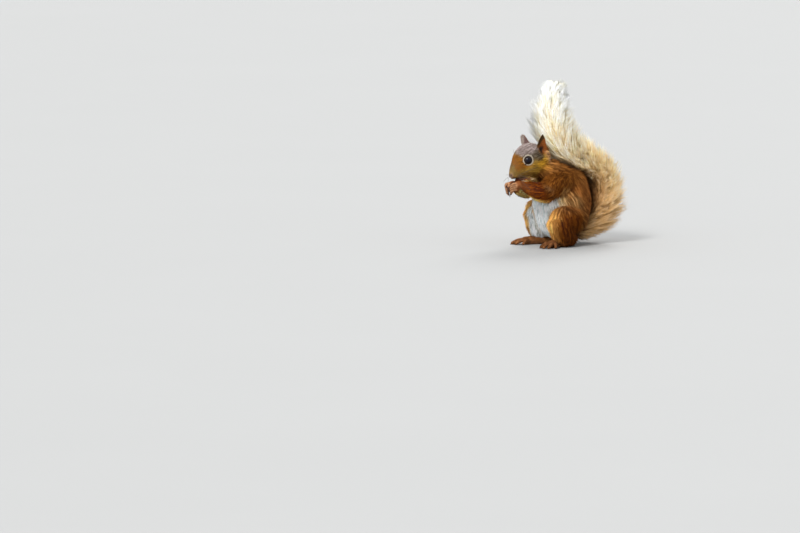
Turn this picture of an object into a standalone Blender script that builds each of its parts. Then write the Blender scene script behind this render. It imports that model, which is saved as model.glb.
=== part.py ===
"""A red squirrel sitting up on its haunches and eating from its hands, life size, as a still model.

Metres, +Z up. The animal faces -Y and its left side is +X. Stations are given in millimetres.
The closed surfaces follow the outer tips of the coat.
"""

import math

import bmesh
import bpy
from mathutils import Matrix, Vector

MM = 0.001
GAP = 0.4 * MM  # the clear gap between touching pieces

# ---- driving dimensions, millimetres and degrees ---------------------------------------------

HEAD_ORIGIN = (-3, -56, 114.5)  # midpoint between the eyes
HEAD_YAW = 6  # the head is turned this far to the animal's right
HEAD_PITCH = 24  # and the face tips down
EYE_RADIUS = 5.0
EYE_AT = (0, 11.2, 0)  # along, sideways, up in the head's own frame
# Ears, in the head's frame: the middle of the base, half the base from its front to its rear corner, and the tip.
# The left one opens sideways and the right one forwards, so the two differ. The taper narrows a leaf towards its tip.
EARS = {
    1: {"base": (-22, 14, 2.5), "across": (-7.2, 0.3, -5.6), "tip": (-28.4, 20.5, 21.5), "taper": 0.55},
    -1: {"base": (-16.5, -12.5, 4), "across": (1.2, -9.0, 0.6), "tip": (-21.6, -19.6, 22.3), "taper": 0.05},
}

# Trunk, rump to neck: (y, z, half width, half depth across the spine).
TRUNK = (
    (8, 13, 24, 16),
    (6, 26, 33, 31),
    (4, 44, 37.5, 37.5),
    (3.5, 64, 37.5, 39.5),
    (3, 78, 33, 34),
    (-6, 88, 28, 22.8),
    (-19.5, 95.8, 23, 18),
    (-33.5, 103.5, 18.5, 16.5),
)
# Head, muzzle to nape: (distance in front of the eyes, top, bottom, half width).
HEAD = (
    (25.2, -7.0, -16.5, 4.8),
    (21, -0.5, -18.5, 6.8),
    (16, 5.0, -22.0, 9.0),
    (10, 11.3, -24.8, 11.8),
    (3, 15.6, -27.0, 14.6),
    (-5, 17.2, -28.0, 16.8),
    (-13, 16.4, -27.5, 18.2),
    (-20, 13.0, -25.5, 17.0),
    (-26, 7.0, -22.5, 14.6),
    (-29.5, 2.0, -19, 11.0),
)
# Limbs: (x, y, z, radius).
UPPER_ARM_LEFT = ((16, 0, 85, 14), (20, -14, 83.5, 15.5), (22.5, -27, 80, 15.5), (24, -35, 73.5, 13.5))
UPPER_ARM_RIGHT = ((-16, 0, 85, 14), (-19.5, -14, 83.5, 15), (-20.5, -26, 80.5, 14.5), (-20.5, -34, 75.5, 12.8))
FOREARM_LEFT = ((24, -37, 71.5, 13.2), (20, -46, 73, 13), (14, -56, 76.6, 10.2), (7.9, -66, 82, 6.7))
FOREARM_RIGHT = ((-20.5, -36, 74, 12.4), (-17.5, -45, 74.8, 12), (-13, -56, 76.8, 9.8), (-8.2, -66, 81, 6.6))
THIGH_LEFT = ((22, 8, 36, 19), (26, -5, 36.5, 20.3), (30, -17, 38, 18.3))
SHANK_LEFT = ((29, -20, 31.5, 17.3), (29, -14.5, 18, 16), (27, -3, 12, 11.2))
THIGH_RIGHT = ((-22, 8, 37, 18), (-25.5, -6, 42, 20), (-25, -20, 48, 13.5))
SHANK_RIGHT = ((-27, -19, 41, 14.5), (-27.5, -14, 22, 14), (-26, -8, 10.4, 9.6))
HAND_RISE = {1: 1.6, -1: 0.6}  # the left hand is held a little higher
FOOT_HEEL = (18, -3)
FOOT_TURNS = {1: 17, -1: 24}  # the left and the right foot point this far outwards

# Tail along its spine: (y, z, half width, half thickness).
TAIL = (
    (28, 15, 15, 11),
    (43, 19.5, 24, 16.5),
    (59, 31, 33, 21),
    (68, 47, 39, 24),
    (70, 67, 41, 24),
    (65, 87, 41, 24),
    (53, 103, 41, 23),
    (34, 113.5, 40, 24.5),
    (15.5, 124, 39, 24.5),
    (-1.5, 138, 40, 26),
    (-10.5, 157, 39, 25),
    (-12.5, 175, 34.5, 24.5),
    (-10.5, 190, 29.5, 21.5),
    (-7.5, 201.5, 21.5, 16.5),
)
TAIL_CUTS = (0.33, 0.66)  # where the three lengths meet, as shares of the spine

COLOURS = {
    "rufous": (0.36, 0.14, 0.045),
    "fox_brown": (0.23, 0.10, 0.035),
    "tail_cream": (0.74, 0.55, 0.31),
    "tail_white": (0.86, 0.82, 0.68),
    "paw": (0.45, 0.24, 0.12),
    "ear": (0.30, 0.13, 0.06),
    "eye": (0.01, 0.008, 0.008),
}


# ---- helpers -----------------------------------------------------------------------------------

def clear_scene():
    for old in list(bpy.data.objects):
        bpy.data.objects.remove(old)


def collection(name, hidden=False):
    made = bpy.data.collections.new(name)
    bpy.context.scene.collection.children.link(made)
    made.hide_render = hidden
    return made


def material(name, roughness=0.85):
    made = bpy.data.materials.new(name)
    made.use_nodes = True
    shader = made.node_tree.nodes["Principled BSDF"]
    shader.inputs["Base Color"].default_value = (*COLOURS[name], 1)
    shader.inputs["Roughness"].default_value = roughness
    return made


def catmull(rows, per_span):
    """Rows of numbers joined by a Catmull-Rom curve, with per_span steps between neighbours."""
    rows = [Vector(r) for r in rows]
    rows = [2 * rows[0] - rows[1], *rows, 2 * rows[-1] - rows[-2]]
    out = []
    for a, b, c, d in zip(rows, rows[1:], rows[2:], rows[3:]):
        for k in range(per_span):
            t = k / per_span
            out.append(0.5 * ((2 * b) + (c - a) * t + (2 * a - 5 * b + 4 * c - d) * t * t
                              + (3 * b - a - 3 * c + d) * t ** 3))
    out.append(rows[-2])
    return out


def tube(name, rings, sides=24, cap=0.75):
    """A closed tube through rings of (centre, side vector, up vector), with domed ends.

    A ring is centre + side cos(a) + up sin(a); cap is a dome's length as a share of the end ring's mean radius.
    """
    first, last = rings[0], rings[-1]
    domes = []
    for end, before in ((first, rings[1]), (last, rings[-2])):
        out = (end[0] - before[0]).normalized()
        reach = out * cap * (end[1].length + end[2].length) / 2
        domes.append([
            (end[0] + reach * math.sin(a), end[1] * math.cos(a), end[2] * math.cos(a))
            for a in (math.radians(30), math.radians(60))
        ] + [end[0] + reach])
    start, finish = domes
    rings = [*reversed(start[:2]), *rings, *finish[:2]]
    bm = bmesh.new()
    loops = [
        [bm.verts.new(centre + side * math.cos(math.tau * k / sides) + up * math.sin(math.tau * k / sides))
         for k in range(sides)]
        for centre, side, up in rings
    ]
    for low, high in zip(loops, loops[1:]):
        for k in range(sides):
            bm.faces.new((low[k], low[k - 1], high[k - 1], high[k]))
    for loop, pole in ((loops[0], start[2]), (loops[-1], finish[2])):
        tip = bm.verts.new(pole)
        for k in range(sides):
            bm.faces.new((loop[k - 1], loop[k], tip))
    bmesh.ops.recalc_face_normals(bm, faces=bm.faces)
    mesh = bpy.data.meshes.new(name)
    bm.to_mesh(mesh)
    bm.free()
    made = bpy.data.objects.new(name, mesh)
    WORK.objects.link(made)
    return made


def spine_rings(rows, per_span=3):
    """Rings for a tube in the mid plane: rows of (y, z, half width, half depth)."""
    path = catmull(rows, per_span)
    rings = []
    for k, row in enumerate(path):
        before, after = path[max(k - 1, 0)], path[min(k + 1, len(path) - 1)]
        along = Vector((0, after[0] - before[0], after[1] - before[1])).normalized()
        across = Vector((1, 0, 0)).cross(along)
        rings.append((Vector((0, row[0], row[1])) * MM, Vector((row[2] * MM, 0, 0)), across * row[3] * MM))
    return rings


def limb_rings(rows, per_span=4, flat=1.0):
    """Rings for a limb: rows of (x, y, z, radius). flat narrows it sideways."""
    path = catmull(rows, per_span)
    rings = []
    for k, row in enumerate(path):
        before, after = path[max(k - 1, 0)], path[min(k + 1, len(path) - 1)]
        along = Vector((after - before)[:3]).normalized()
        side = along.cross(Vector((0, 0, 1))).normalized()
        rings.append((Vector(row[:3]) * MM, side * row[3] * MM * flat, along.cross(side) * row[3] * MM))
    return rings


def head_matrix():
    """The head's own frame, +X forwards, +Y to its left and +Z up, placed in the model."""
    turn = Matrix.Rotation(math.radians(-90 - HEAD_YAW), 4, "Z")
    tip = Matrix.Rotation(math.radians(HEAD_PITCH), 4, "Y")
    return Matrix.Translation(Vector(HEAD_ORIGIN) * MM) @ turn @ tip


def head_rings(per_span=3):
    rings = []
    for along, top, bottom, half in catmull(HEAD, per_span):
        centre = Vector((along, 0, (top + bottom) / 2)) * MM
        rings.append((centre, Vector((0, half * MM, 0)), Vector((0, 0, (top - bottom) / 2 * MM))))
    frame = head_matrix()
    turn = frame.to_3x3()
    return [(frame @ centre, turn @ side, turn @ up) for centre, side, up in rings]


def baked(obj, name=None):
    """The object's evaluated mesh as a new plain object, in world space; the old one goes."""
    graph = bpy.context.evaluated_depsgraph_get()
    mesh = bpy.data.meshes.new_from_object(obj.evaluated_get(graph))
    mesh.transform(obj.matrix_world)
    label = name or obj.name
    bpy.data.objects.remove(obj)
    made = bpy.data.objects.new(label, mesh)
    made.name = label
    WORK.objects.link(made)
    return made


def joined(objects, name):
    """Several closed meshes as one mesh object, their surfaces still passing through each other."""
    bm = bmesh.new()
    for obj in objects:
        bm.from_mesh(obj.data)
        bpy.data.objects.remove(obj)
    mesh = bpy.data.meshes.new(name)
    bm.to_mesh(mesh)
    bm.free()
    made = bpy.data.objects.new(name, mesh)
    WORK.objects.link(made)
    return made


def blended(objects, name, voxel, smooth, triangles):
    """Overlapping closed meshes melted into one skin, smoothed, and thinned to about that many triangles."""
    obj = joined(objects, name)
    melt = obj.modifiers.new("melt", "REMESH")
    melt.mode = "VOXEL"
    melt.voxel_size = voxel * MM
    soften = obj.modifiers.new("soften", "SMOOTH")
    soften.factor = 0.5
    soften.iterations = smooth
    obj = baked(obj)
    count = sum(len(p.vertices) - 2 for p in obj.data.polygons)
    thin = obj.modifiers.new("thin", "DECIMATE")
    thin.ratio = min(1.0, triangles / count)
    return baked(obj)


def boolean(obj, cutter, operation):
    """obj with the Boolean applied; the cutter stays."""
    cut = obj.modifiers.new(operation.lower(), "BOOLEAN")
    cut.operation = operation
    cut.object = cutter
    cut.solver = "EXACT"
    return baked(obj)


def copied(obj, name):
    made = bpy.data.objects.new(name, obj.data.copy())
    WORK.objects.link(made)
    return made


def grown(obj, by=1.6 * GAP):
    """A copy swollen along its normals, for cutting a neighbour with a clear gap."""
    made = copied(obj, obj.name + "_grown")
    swell = made.modifiers.new("swell", "DISPLACE")
    swell.mid_level = 0
    swell.strength = by
    return baked(made)


def ball(name, centre, radii, grow=0.0, segments=16, rings=9):
    """An ellipsoid about a point, sizes in millimetres."""
    bm = bmesh.new()
    bmesh.ops.create_uvsphere(bm, u_segments=segments, v_segments=rings, radius=1)
    size = Matrix.Diagonal((*(r * MM + grow for r in radii), 1))
    bm.transform(Matrix.Translation(Vector(centre) * MM) @ size)
    mesh = bpy.data.meshes.new(name)
    bm.to_mesh(mesh)
    bm.free()
    made = bpy.data.objects.new(name, mesh)
    WORK.objects.link(made)
    return made


def block(name, size, matrix):
    """A box of that size in millimetres, placed by a matrix."""
    bm = bmesh.new()
    bmesh.ops.create_cube(bm, size=1)
    bm.transform(matrix @ Matrix.Diagonal((*(s * MM for s in size), 1)))
    mesh = bpy.data.meshes.new(name)
    bm.to_mesh(mesh)
    bm.free()
    made = bpy.data.objects.new(name, mesh)
    WORK.objects.link(made)
    return made


def on_floor(obj):
    """Cuts away what lies under the floor, which leaves a small flat to rest on."""
    floor = block("floor", (300, 300, 40), Matrix.Translation(Vector((0, 0, -20)) * MM))
    obj = boolean(obj, floor, "DIFFERENCE")
    bpy.data.objects.remove(floor)
    return obj


def carved(body, region, region_grown, name):
    """Takes the part of body inside region as a new piece, and returns (piece, what is left)."""
    piece = boolean(copied(body, name), region, "INTERSECT")
    rest = boolean(body, region_grown, "DIFFERENCE")
    for used in (region, region_grown):
        bpy.data.objects.remove(used)
    return piece, rest


def largest_only(obj):
    """Drops the crumbs that a cut can leave, keeping the largest connected shell."""
    bm = bmesh.new()
    bm.from_mesh(obj.data)
    bm.verts.ensure_lookup_table()
    seen, shells = set(), []
    for seed in bm.verts:
        if seed in seen:
            continue
        shell, queue = [], [seed]
        seen.add(seed)
        while queue:
            vert = queue.pop()
            shell.append(vert)
            for edge in vert.link_edges:
                other = edge.other_vert(vert)
                if other not in seen:
                    seen.add(other)
                    queue.append(other)
        shells.append(shell)
    shells.sort(key=len)
    for shell in shells[:-1]:
        bmesh.ops.delete(bm, geom=shell, context="VERTS")
    bm.to_mesh(obj.data)
    bm.free()
    return obj


def finish(obj, name, paint):
    """Names a piece, paints it and moves it to the animal's collection."""
    obj.name = name
    obj.data.name = name
    obj.data.materials.clear()
    obj.data.materials.append(PAINTS[paint])
    obj.data.shade_smooth()
    obj.data.set_sharp_from_angle(angle=math.radians(50))
    for owner in obj.users_collection:
        owner.objects.unlink(obj)
    ANIMAL.objects.link(obj)
    return obj


# ---- pieces ------------------------------------------------------------------------------------

def make_body():
    """Trunk, head, upper arms and folded hind legs as one blended surface."""
    shapes = [tube("trunk_form", spine_rings(TRUNK)), tube("head_form", head_rings(), cap=0.45)]
    for rows in (UPPER_ARM_LEFT, UPPER_ARM_RIGHT, THIGH_LEFT, THIGH_RIGHT, SHANK_LEFT, SHANK_RIGHT):
        shapes.append(tube("limb_form", limb_rings(rows)))
    return on_floor(blended(shapes, "body", voxel=2.0, smooth=5, triangles=1750))


def digit(base, tip, radius, droop):
    """A finger or toe with its claw: a tube from base to tip that sags by droop, ending in a fine point."""
    base, tip = Vector(base), Vector(tip)
    along = tip - base
    rows = []
    for t, r in ((0, 1.0), (0.35, 1.0), (0.7, 0.9), (0.86, 0.5), (1.0, 0.3)):
        point = base + along * t + Vector((0, 0, droop * 4 * t * (1 - t)))
        rows.append((*point, radius * r))
    return tube("digit", limb_rings(rows, per_span=2), sides=10, cap=0.6)


def make_foot(side):
    """A long hind foot flat on the floor, its five toes spread, in the model's place."""
    turn = Matrix.Rotation(math.radians(FOOT_TURNS[side]), 4, "Z")
    shapes = []
    sole = ((0, 2, 4.6, 5.0), (0, -10, 5.4, 5.4), (0, -22, 5.6, 5.8), (0, -31, 5.0, 6.0))
    shapes.append(tube("sole", limb_rings(sole, flat=1.25), sides=16))
    toes = ((-11.0, -37, 2.3), (-6.0, -45.5, 2.6), (0, -49, 2.7), (6.0, -47, 2.6), (11.5, -40, 2.4))
    for across, reach, radius in toes:
        shapes.append(digit((across * 0.45, -27, 4.6), (across * 1.1, reach - 4, 1.4), radius, 2.2))
    foot = blended(shapes, "foot", voxel=0.9, smooth=2, triangles=360)
    foot.data.transform(turn)
    if side < 0:
        foot.data.transform(Matrix.Diagonal((-1, 1, 1, 1)))
        foot.data.flip_normals()
    heel = Vector((FOOT_HEEL[0] * side, FOOT_HEEL[1], 0)) * MM
    foot.data.transform(Matrix.Translation(heel))
    return on_floor(foot)


def make_hand(side):
    """A hand held up before the mouth, its fingers curled round towards the other one."""
    shapes = [tube("palm", limb_rings(((7.2, -65.5, 81.2, 5.2), (6.6, -71.5, 81, 5.2), (6.2, -75.5, 79.5, 4.6))),
                   sides=14)]
    for k in range(4):
        low = k * 2.7
        knuckle = (7.8 - 0.2 * k, -74.5 + 0.6 * k, 82.8 - low)
        middle = (7.4 - 0.2 * k, -79.6 + 0.6 * k, 82.2 - low)
        bend = (5.2, -82.4 + 0.6 * k, 79.6 - low)
        tip = (2.5, -81.6 + 0.8 * k, 76.8 - low)
        rows = ((*knuckle, 2.1), (*middle, 2.0), (*bend, 1.9), (*tip, 1.4), (2.4, tip[1] + 2.0, tip[2] - 2.2, 0.55))
        shapes.append(tube("finger", limb_rings(rows, per_span=3), sides=10))
    hand = blended(shapes, "hand", voxel=0.8, smooth=2, triangles=400)
    hand.data.transform(Matrix.Translation((0, 0, HAND_RISE[side] * MM)))
    if side < 0:
        hand.data.transform(Matrix.Diagonal((-1, 1, 1, 1)))
        hand.data.flip_normals()
    return hand


def make_ear(side):
    """A cupped, pointed-round ear leaf with a real thickness, in the head's frame."""
    ear = EARS[side]
    base, across, axis = Vector(ear["base"]), Vector(ear["across"]), Vector(ear["tip"]) - Vector(ear["base"])
    facing = across.cross(axis).normalized() * side
    rows, columns = 9, 7
    bm = bmesh.new()
    grid = []
    for i in range(rows):
        t = i / (rows - 1)
        half = (1 - ear["taper"] * t) * math.sqrt(max(1 - t ** 3.5, 0.03))
        line = []
        for j in range(columns):
            s = 2 * j / (columns - 1) - 1
            cup = 3.4 * (1 - s * s) * (1 - 0.55 * t)
            line.append(bm.verts.new((base + axis * t + across * half * s - facing * cup) * MM))
        grid.append(line)
    for low, high in zip(grid, grid[1:]):
        for j in range(columns - 1):
            bm.faces.new((low[j], low[j + 1], high[j + 1], high[j]))
    mesh = bpy.data.meshes.new("ear")
    bm.to_mesh(mesh)
    bm.free()
    mesh.transform(head_matrix())
    ear = bpy.data.objects.new("ear", mesh)
    WORK.objects.link(ear)
    wall = ear.modifiers.new("wall", "SOLIDIFY")
    wall.thickness = 2.0 * MM
    wall.offset = 0
    ear = baked(ear)
    bm = bmesh.new()
    bm.from_mesh(ear.data)
    bmesh.ops.recalc_face_normals(bm, faces=bm.faces)
    bm.to_mesh(ear.data)
    bm.free()
    return ear


def make_tail():
    """The plume's outline as one tube, rump to tip, then a flat where it lies on the floor."""
    return on_floor(tube("tail", spine_rings(TAIL, per_span=2), sides=18, cap=0.8))


def tail_cutter(share):
    """A thin slab across the tail's spine at that share of its length."""
    rings = spine_rings(TAIL, per_span=2)
    k = round(share * (len(rings) - 1))
    along = (rings[k + 1][0] - rings[k - 1][0]).normalized()
    turn = Vector((0, 0, 1)).rotation_difference(along).to_matrix().to_4x4()
    return block("slab", (110, 74, 0.4), Matrix.Translation(rings[k][0]) @ turn)


def centre_on_origin():
    """Moves the animal so that the origin is under the middle of its bounding box, on the floor."""
    points = [v.co for obj in ANIMAL.objects for v in obj.data.vertices]
    middle = [(min(p[k] for p in points) + max(p[k] for p in points)) / 2 for k in (0, 1)]
    for obj in ANIMAL.objects:
        obj.data.transform(Matrix.Translation((-middle[0], -middle[1], 0)))


def split_shells(obj):
    """The connected shells of a mesh as separate objects, lowest first."""
    bpy.context.view_layer.objects.active = obj
    for other in bpy.context.selected_objects:
        other.select_set(False)
    obj.select_set(True)
    bpy.ops.mesh.separate(type="LOOSE")
    shells = list(bpy.context.selected_objects)
    return sorted(shells, key=lambda o: sum(v.co.z for v in o.data.vertices) / len(o.data.vertices))


def region(kind, name, *args):
    """A cutting shape and its copy grown by the gap."""
    return kind(name, *args), kind(name + "_grown", *args, GAP)


def box_region(name, centre, size, matrix, grow=0.0):
    place = matrix @ Matrix.Translation(Vector(centre) * MM)
    return block(name, tuple(s + 2 * grow / MM for s in size), place)


def main():
    body = make_body()
    swollen = grown(body)

    frame = head_matrix()
    eye_at = {1: frame @ (Vector(EYE_AT) * MM), -1: frame @ (Vector((EYE_AT[0], -EYE_AT[1], EYE_AT[2])) * MM)}
    names = {1: "left", -1: "right"}

    for side, label in names.items():
        centre = eye_at[side] / MM
        socket = ball("socket", centre, (EYE_RADIUS,) * 3, GAP)
        body = boolean(body, socket, "DIFFERENCE")
        bpy.data.objects.remove(socket)
        finish(ball("eye", centre, (EYE_RADIUS,) * 3), f"eye_{label}", "eye")

    head, body = carved(body, *region(box_region, "head_box", (10, 0, 2), (72, 60, 70), frame), "head")
    neck_frame = frame @ Matrix.Rotation(math.radians(-14), 4, "Y")
    neck, body = carved(body, *region(box_region, "neck_box", (-33, 0, 5), (14, 60, 52), neck_frame), "neck")
    head, neck = largest_only(head), largest_only(neck)

    for side, label in names.items():
        leg, body = carved(body, *region(ball, "leg_ball", (38 * side, -6, 26), (25, 35, 37)), "leg")
        finish(largest_only(leg), f"hind_leg_{label}", "fox_brown")
        arm, body = carved(body, *region(ball, "arm_ball", (33 * side, -21, 79), (19, 24, 23)), "arm")
        finish(largest_only(arm), f"upper_arm_{label}", "rufous")

        rows = FOREARM_LEFT if side > 0 else FOREARM_RIGHT
        forearm = tube("forearm", limb_rings(rows, per_span=2), sides=14)
        forearm = largest_only(boolean(forearm, swollen, "DIFFERENCE"))
        finish(forearm, f"forearm_{label}", "rufous")
        swollen_arm = grown(forearm)
        hand = largest_only(boolean(make_hand(side), swollen_arm, "DIFFERENCE"))
        bpy.data.objects.remove(swollen_arm)
        finish(hand, f"hand_{label}", "paw")

        foot = largest_only(boolean(make_foot(side), swollen, "DIFFERENCE"))
        finish(foot, f"hind_foot_{label}", "paw")
        ear = largest_only(boolean(make_ear(side), swollen, "DIFFERENCE"))
        finish(ear, f"ear_{label}", "ear")

    finish(head, "head", "rufous")
    finish(neck, "neck", "rufous")
    finish(largest_only(body), "trunk", "rufous")

    tail = largest_only(boolean(make_tail(), swollen, "DIFFERENCE"))
    for share in TAIL_CUTS:
        slab = tail_cutter(share)
        tail = boolean(tail, slab, "DIFFERENCE")
        bpy.data.objects.remove(slab)
    for piece, label in zip(split_shells(tail), ("base", "middle", "tip")):
        finish(piece, f"tail_{label}", "tail_white" if label == "tip" else "tail_cream")
    bpy.data.objects.remove(swollen)
    centre_on_origin()


clear_scene()
ANIMAL = collection("red_squirrel")
WORK = collection("work", hidden=True)
PAINTS = {name: material(name, 0.2 if name == "eye" else 0.85) for name in COLOURS}
main()
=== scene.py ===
# A red squirrel sitting up to eat, life size: one skin, a coat of solid tufts, eyes, claws and whiskers,
# in a plain pale studio. Sizes are in millimetres until a mesh is made.
import math
import time

import bmesh
import bpy
import numpy as np
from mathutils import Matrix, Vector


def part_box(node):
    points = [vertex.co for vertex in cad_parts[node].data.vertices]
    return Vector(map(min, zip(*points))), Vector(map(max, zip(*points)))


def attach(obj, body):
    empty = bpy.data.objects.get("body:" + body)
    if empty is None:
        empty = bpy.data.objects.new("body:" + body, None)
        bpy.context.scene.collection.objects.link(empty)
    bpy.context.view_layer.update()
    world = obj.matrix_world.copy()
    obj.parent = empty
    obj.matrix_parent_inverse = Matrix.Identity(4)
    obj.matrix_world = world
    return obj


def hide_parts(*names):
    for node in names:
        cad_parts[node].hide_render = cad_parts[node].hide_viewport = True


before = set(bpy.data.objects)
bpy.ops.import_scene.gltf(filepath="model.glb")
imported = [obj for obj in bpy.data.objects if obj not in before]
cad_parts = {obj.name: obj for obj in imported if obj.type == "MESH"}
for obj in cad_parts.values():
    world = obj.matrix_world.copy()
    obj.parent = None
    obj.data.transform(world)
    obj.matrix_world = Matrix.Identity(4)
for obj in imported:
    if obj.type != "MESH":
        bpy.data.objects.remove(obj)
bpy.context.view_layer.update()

startTime = time.time()


def report(stage):
    print(f"[{time.time() - startTime:5.1f} s] {stage}", flush=True)


# small vector and curve tools

def unit(v):
    return v / np.maximum(np.linalg.norm(v, axis=-1, keepdims=True), 1e-9)


def smoothStep(x, low, high):
    # 0 at low, 1 at high and 3t^2 - 2t^3 between; it falls where low is the greater
    t = np.clip((x - low) / (high - low), 0, 1)
    return t * t * (3 - 2 * t)


def mix(a, b, share):
    # a to b by a share for each row
    return a + (b - a) * share[:, None]


def splinePath(rows, perSpan=4):
    # Catmull-Rom through the rows: half of 2b + (c-a)t + (2a-5b+4c-d)t^2 + (3b-a-3c+d)t^3
    rows = np.array(rows, float)
    rows = np.vstack([2 * rows[0] - rows[1], rows, 2 * rows[-1] - rows[-2]])
    a, b, c, d = rows[:-3, None], rows[1:-2, None], rows[2:-1, None], rows[3:, None]
    t = np.arange(perSpan)[None, :, None] / perSpan
    curve = (2 * b + (c - a) * t + (2 * a - 5 * b + 4 * c - d) * t**2 + (3 * b - a - 3 * c + d) * t**3) / 2
    return np.vstack([curve.reshape(-1, rows.shape[1]), rows[-2]])


def waves(points, wavelength, seed, count=7):
    # a smooth random field from -1 to 1: the mean of sine waves in random directions
    rng = np.random.default_rng(seed)
    way = unit(rng.normal(size=(count, 3))) * math.tau / (wavelength * rng.uniform(0.7, 1.4, (count, 1)))
    return np.sin(points @ way.T + rng.uniform(0, math.tau, count)).sum(1) / math.sqrt(count)


# surfaces

def closedTube(centre, side, up, sides=24, cap=0.75):
    # rings centre + side cos a + up sin a along a path; each end is a quarter-ellipse dome with a pole
    angle = math.tau * np.arange(sides) / sides
    domes = []
    for end, before in ((0, 1), (-1, -2)):
        out = unit(centre[end] - centre[before])
        reach = out * cap * (np.linalg.norm(side[end]) + np.linalg.norm(up[end])) / 2
        rise = np.radians([22, 44, 66])[:, None]
        domes.append((centre[end] + reach * np.sin(rise), side[end] * np.cos(rise),
                      up[end] * np.cos(rise), centre[end] + reach))
    first, last = domes
    centre, side, up = (np.vstack([first[k][::-1], ring, last[k]])
                        for k, ring in enumerate((centre, side, up)))
    rings = centre[:, None] + side[:, None] * np.cos(angle)[:, None] + up[:, None] * np.sin(angle)[:, None]
    return closeRings(rings, first[3], last[3])


def closeRings(rings, firstPole, lastPole):
    # quads between neighbouring rings as triangle pairs, and a fan at each pole
    count, sides = rings.shape[:2]
    row, col = np.meshgrid(np.arange(count - 1), np.arange(sides), indexing="ij")
    a, b = row * sides + col, row * sides + (col + 1) % sides
    c, d = b + sides, a + sides
    k, n = np.arange(sides), count * sides
    faces = np.vstack([
        np.stack([a, b, c], -1).reshape(-1, 3), np.stack([a, c, d], -1).reshape(-1, 3),
        np.stack([k, np.full(sides, n), (k + 1) % sides], -1),
        np.stack([n - sides + k, n - sides + (k + 1) % sides, np.full(sides, n + 1)], -1)])
    points = np.vstack([rings.reshape(-1, 3), firstPole, lastPole])
    return outward(points, faces)


def outward(points, faces):
    # turns every face round if the closed surface has a negative volume
    corner = points[faces]
    volume = np.einsum("ij,ij->i", corner[:, 0], np.cross(corner[:, 1], corner[:, 2])).sum()
    return points, faces if volume > 0 else faces[:, ::-1]


def limb(rows, inset=0.0, perSpan=5, flat=1.0, **shape):
    # a round tube through rows of x, y, z, radius
    path = splinePath(rows, perSpan)
    along = unit(np.gradient(path[:, :3], axis=0))
    side = unit(np.cross(along, (0, 0, 1)))
    radius = np.maximum(path[:, 3:4] - inset, 0.15)
    return closedTube(path[:, :3], side * radius * flat, np.cross(along, side) * radius, **shape)


def spine(rows, inset=0.0, perSpan=5, **shape):
    # a tube in the mid plane through rows of y, z, half width, half depth
    path = splinePath(rows, perSpan)
    centre = np.column_stack([np.zeros(len(path)), path[:, :2]])
    along = unit(np.gradient(centre, axis=0))
    up = np.cross((1, 0, 0), along)
    side = np.column_stack([path[:, 2] - inset, np.zeros((len(path), 2))])
    return closedTube(centre, side, up * (path[:, 3:4] - inset), **shape)


def egg(centre, radii, sides=24, levels=13):
    # an ellipsoid about a point
    level = np.linspace(-1, 1, levels)[1:-1, None] * math.pi / 2
    x, y, z = np.eye(3) * radii
    shrink = np.cos(level)
    rings = (np.array(centre) + z * np.sin(level))[:, None] + (
        np.cos(math.tau * np.arange(sides) / sides)[:, None] * x
        + np.sin(math.tau * np.arange(sides) / sides)[:, None] * y) * shrink[:, None]
    return closeRings(rings, centre - z, centre + z)


def joined(forms):
    # several surfaces as one list of points and one of faces
    points = np.vstack([p for p, _ in forms])
    starts = np.cumsum([0] + [len(p) for p, _ in forms[:-1]])
    return points, np.vstack([f + s for (_, f), s in zip(forms, starts)])


def linked(name, data):
    obj = bpy.data.objects.new(name, data)
    bpy.context.scene.collection.objects.link(obj)
    return obj


def newObject(name, points, faces):
    mesh = bpy.data.meshes.new(name)
    mesh.from_pydata((points + placed) * 0.001, [], faces)
    return linked(name, mesh)


def applied(obj):
    # the modifiers made real
    graph = bpy.context.evaluated_depsgraph_get()
    mesh = bpy.data.meshes.new_from_object(obj.evaluated_get(graph))
    obj.modifiers.clear()
    old, obj.data = obj.data, mesh
    bpy.data.meshes.remove(old)
    return obj


def melted(name, forms, voxel, passes):
    # overlapping closed surfaces made one surface and smoothed
    obj = newObject(name, *joined(forms))
    remesh = obj.modifiers.new("melt", "REMESH")
    remesh.mode, remesh.voxel_size = "VOXEL", voxel * 0.001
    soften = obj.modifiers.new("soften", "SMOOTH")
    soften.factor, soften.iterations = 0.5, passes
    return applied(obj)


def threes(items, key, kind=np.float32):
    flat = np.empty(len(items) * 3, kind)
    items.foreach_get(key, flat)
    return flat.reshape(-1, 3)


def pointsOf(obj):
    return threes(obj.data.vertices, "co").astype(float) * 1000 - placed


def normalsOf(obj):
    return threes(obj.data.vertex_normals, "vector").astype(float)


def trianglesOf(obj):
    obj.data.calc_loop_triangles()
    return threes(obj.data.loop_triangles, "vertices", np.int32)


def setPoints(mesh, points):
    mesh.vertices.foreach_set("co", ((points + placed) * 0.001).astype(np.float32).ravel())


# the animal's stations, out to the tips of the coat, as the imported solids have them

headSet = dict(yaw=6, pitch=24)  # degrees: turned to its right, face tipped down
modelEyes = np.array([-3.0, -56.0, 114.5])  # the midpoint between the eyes before the model was centred
eyeMiddle = sum(np.array(corner) for side in ("left", "right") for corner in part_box("eye_" + side)) * 250
placed = eyeMiddle - modelEyes  # what centring the model moved it by

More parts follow.
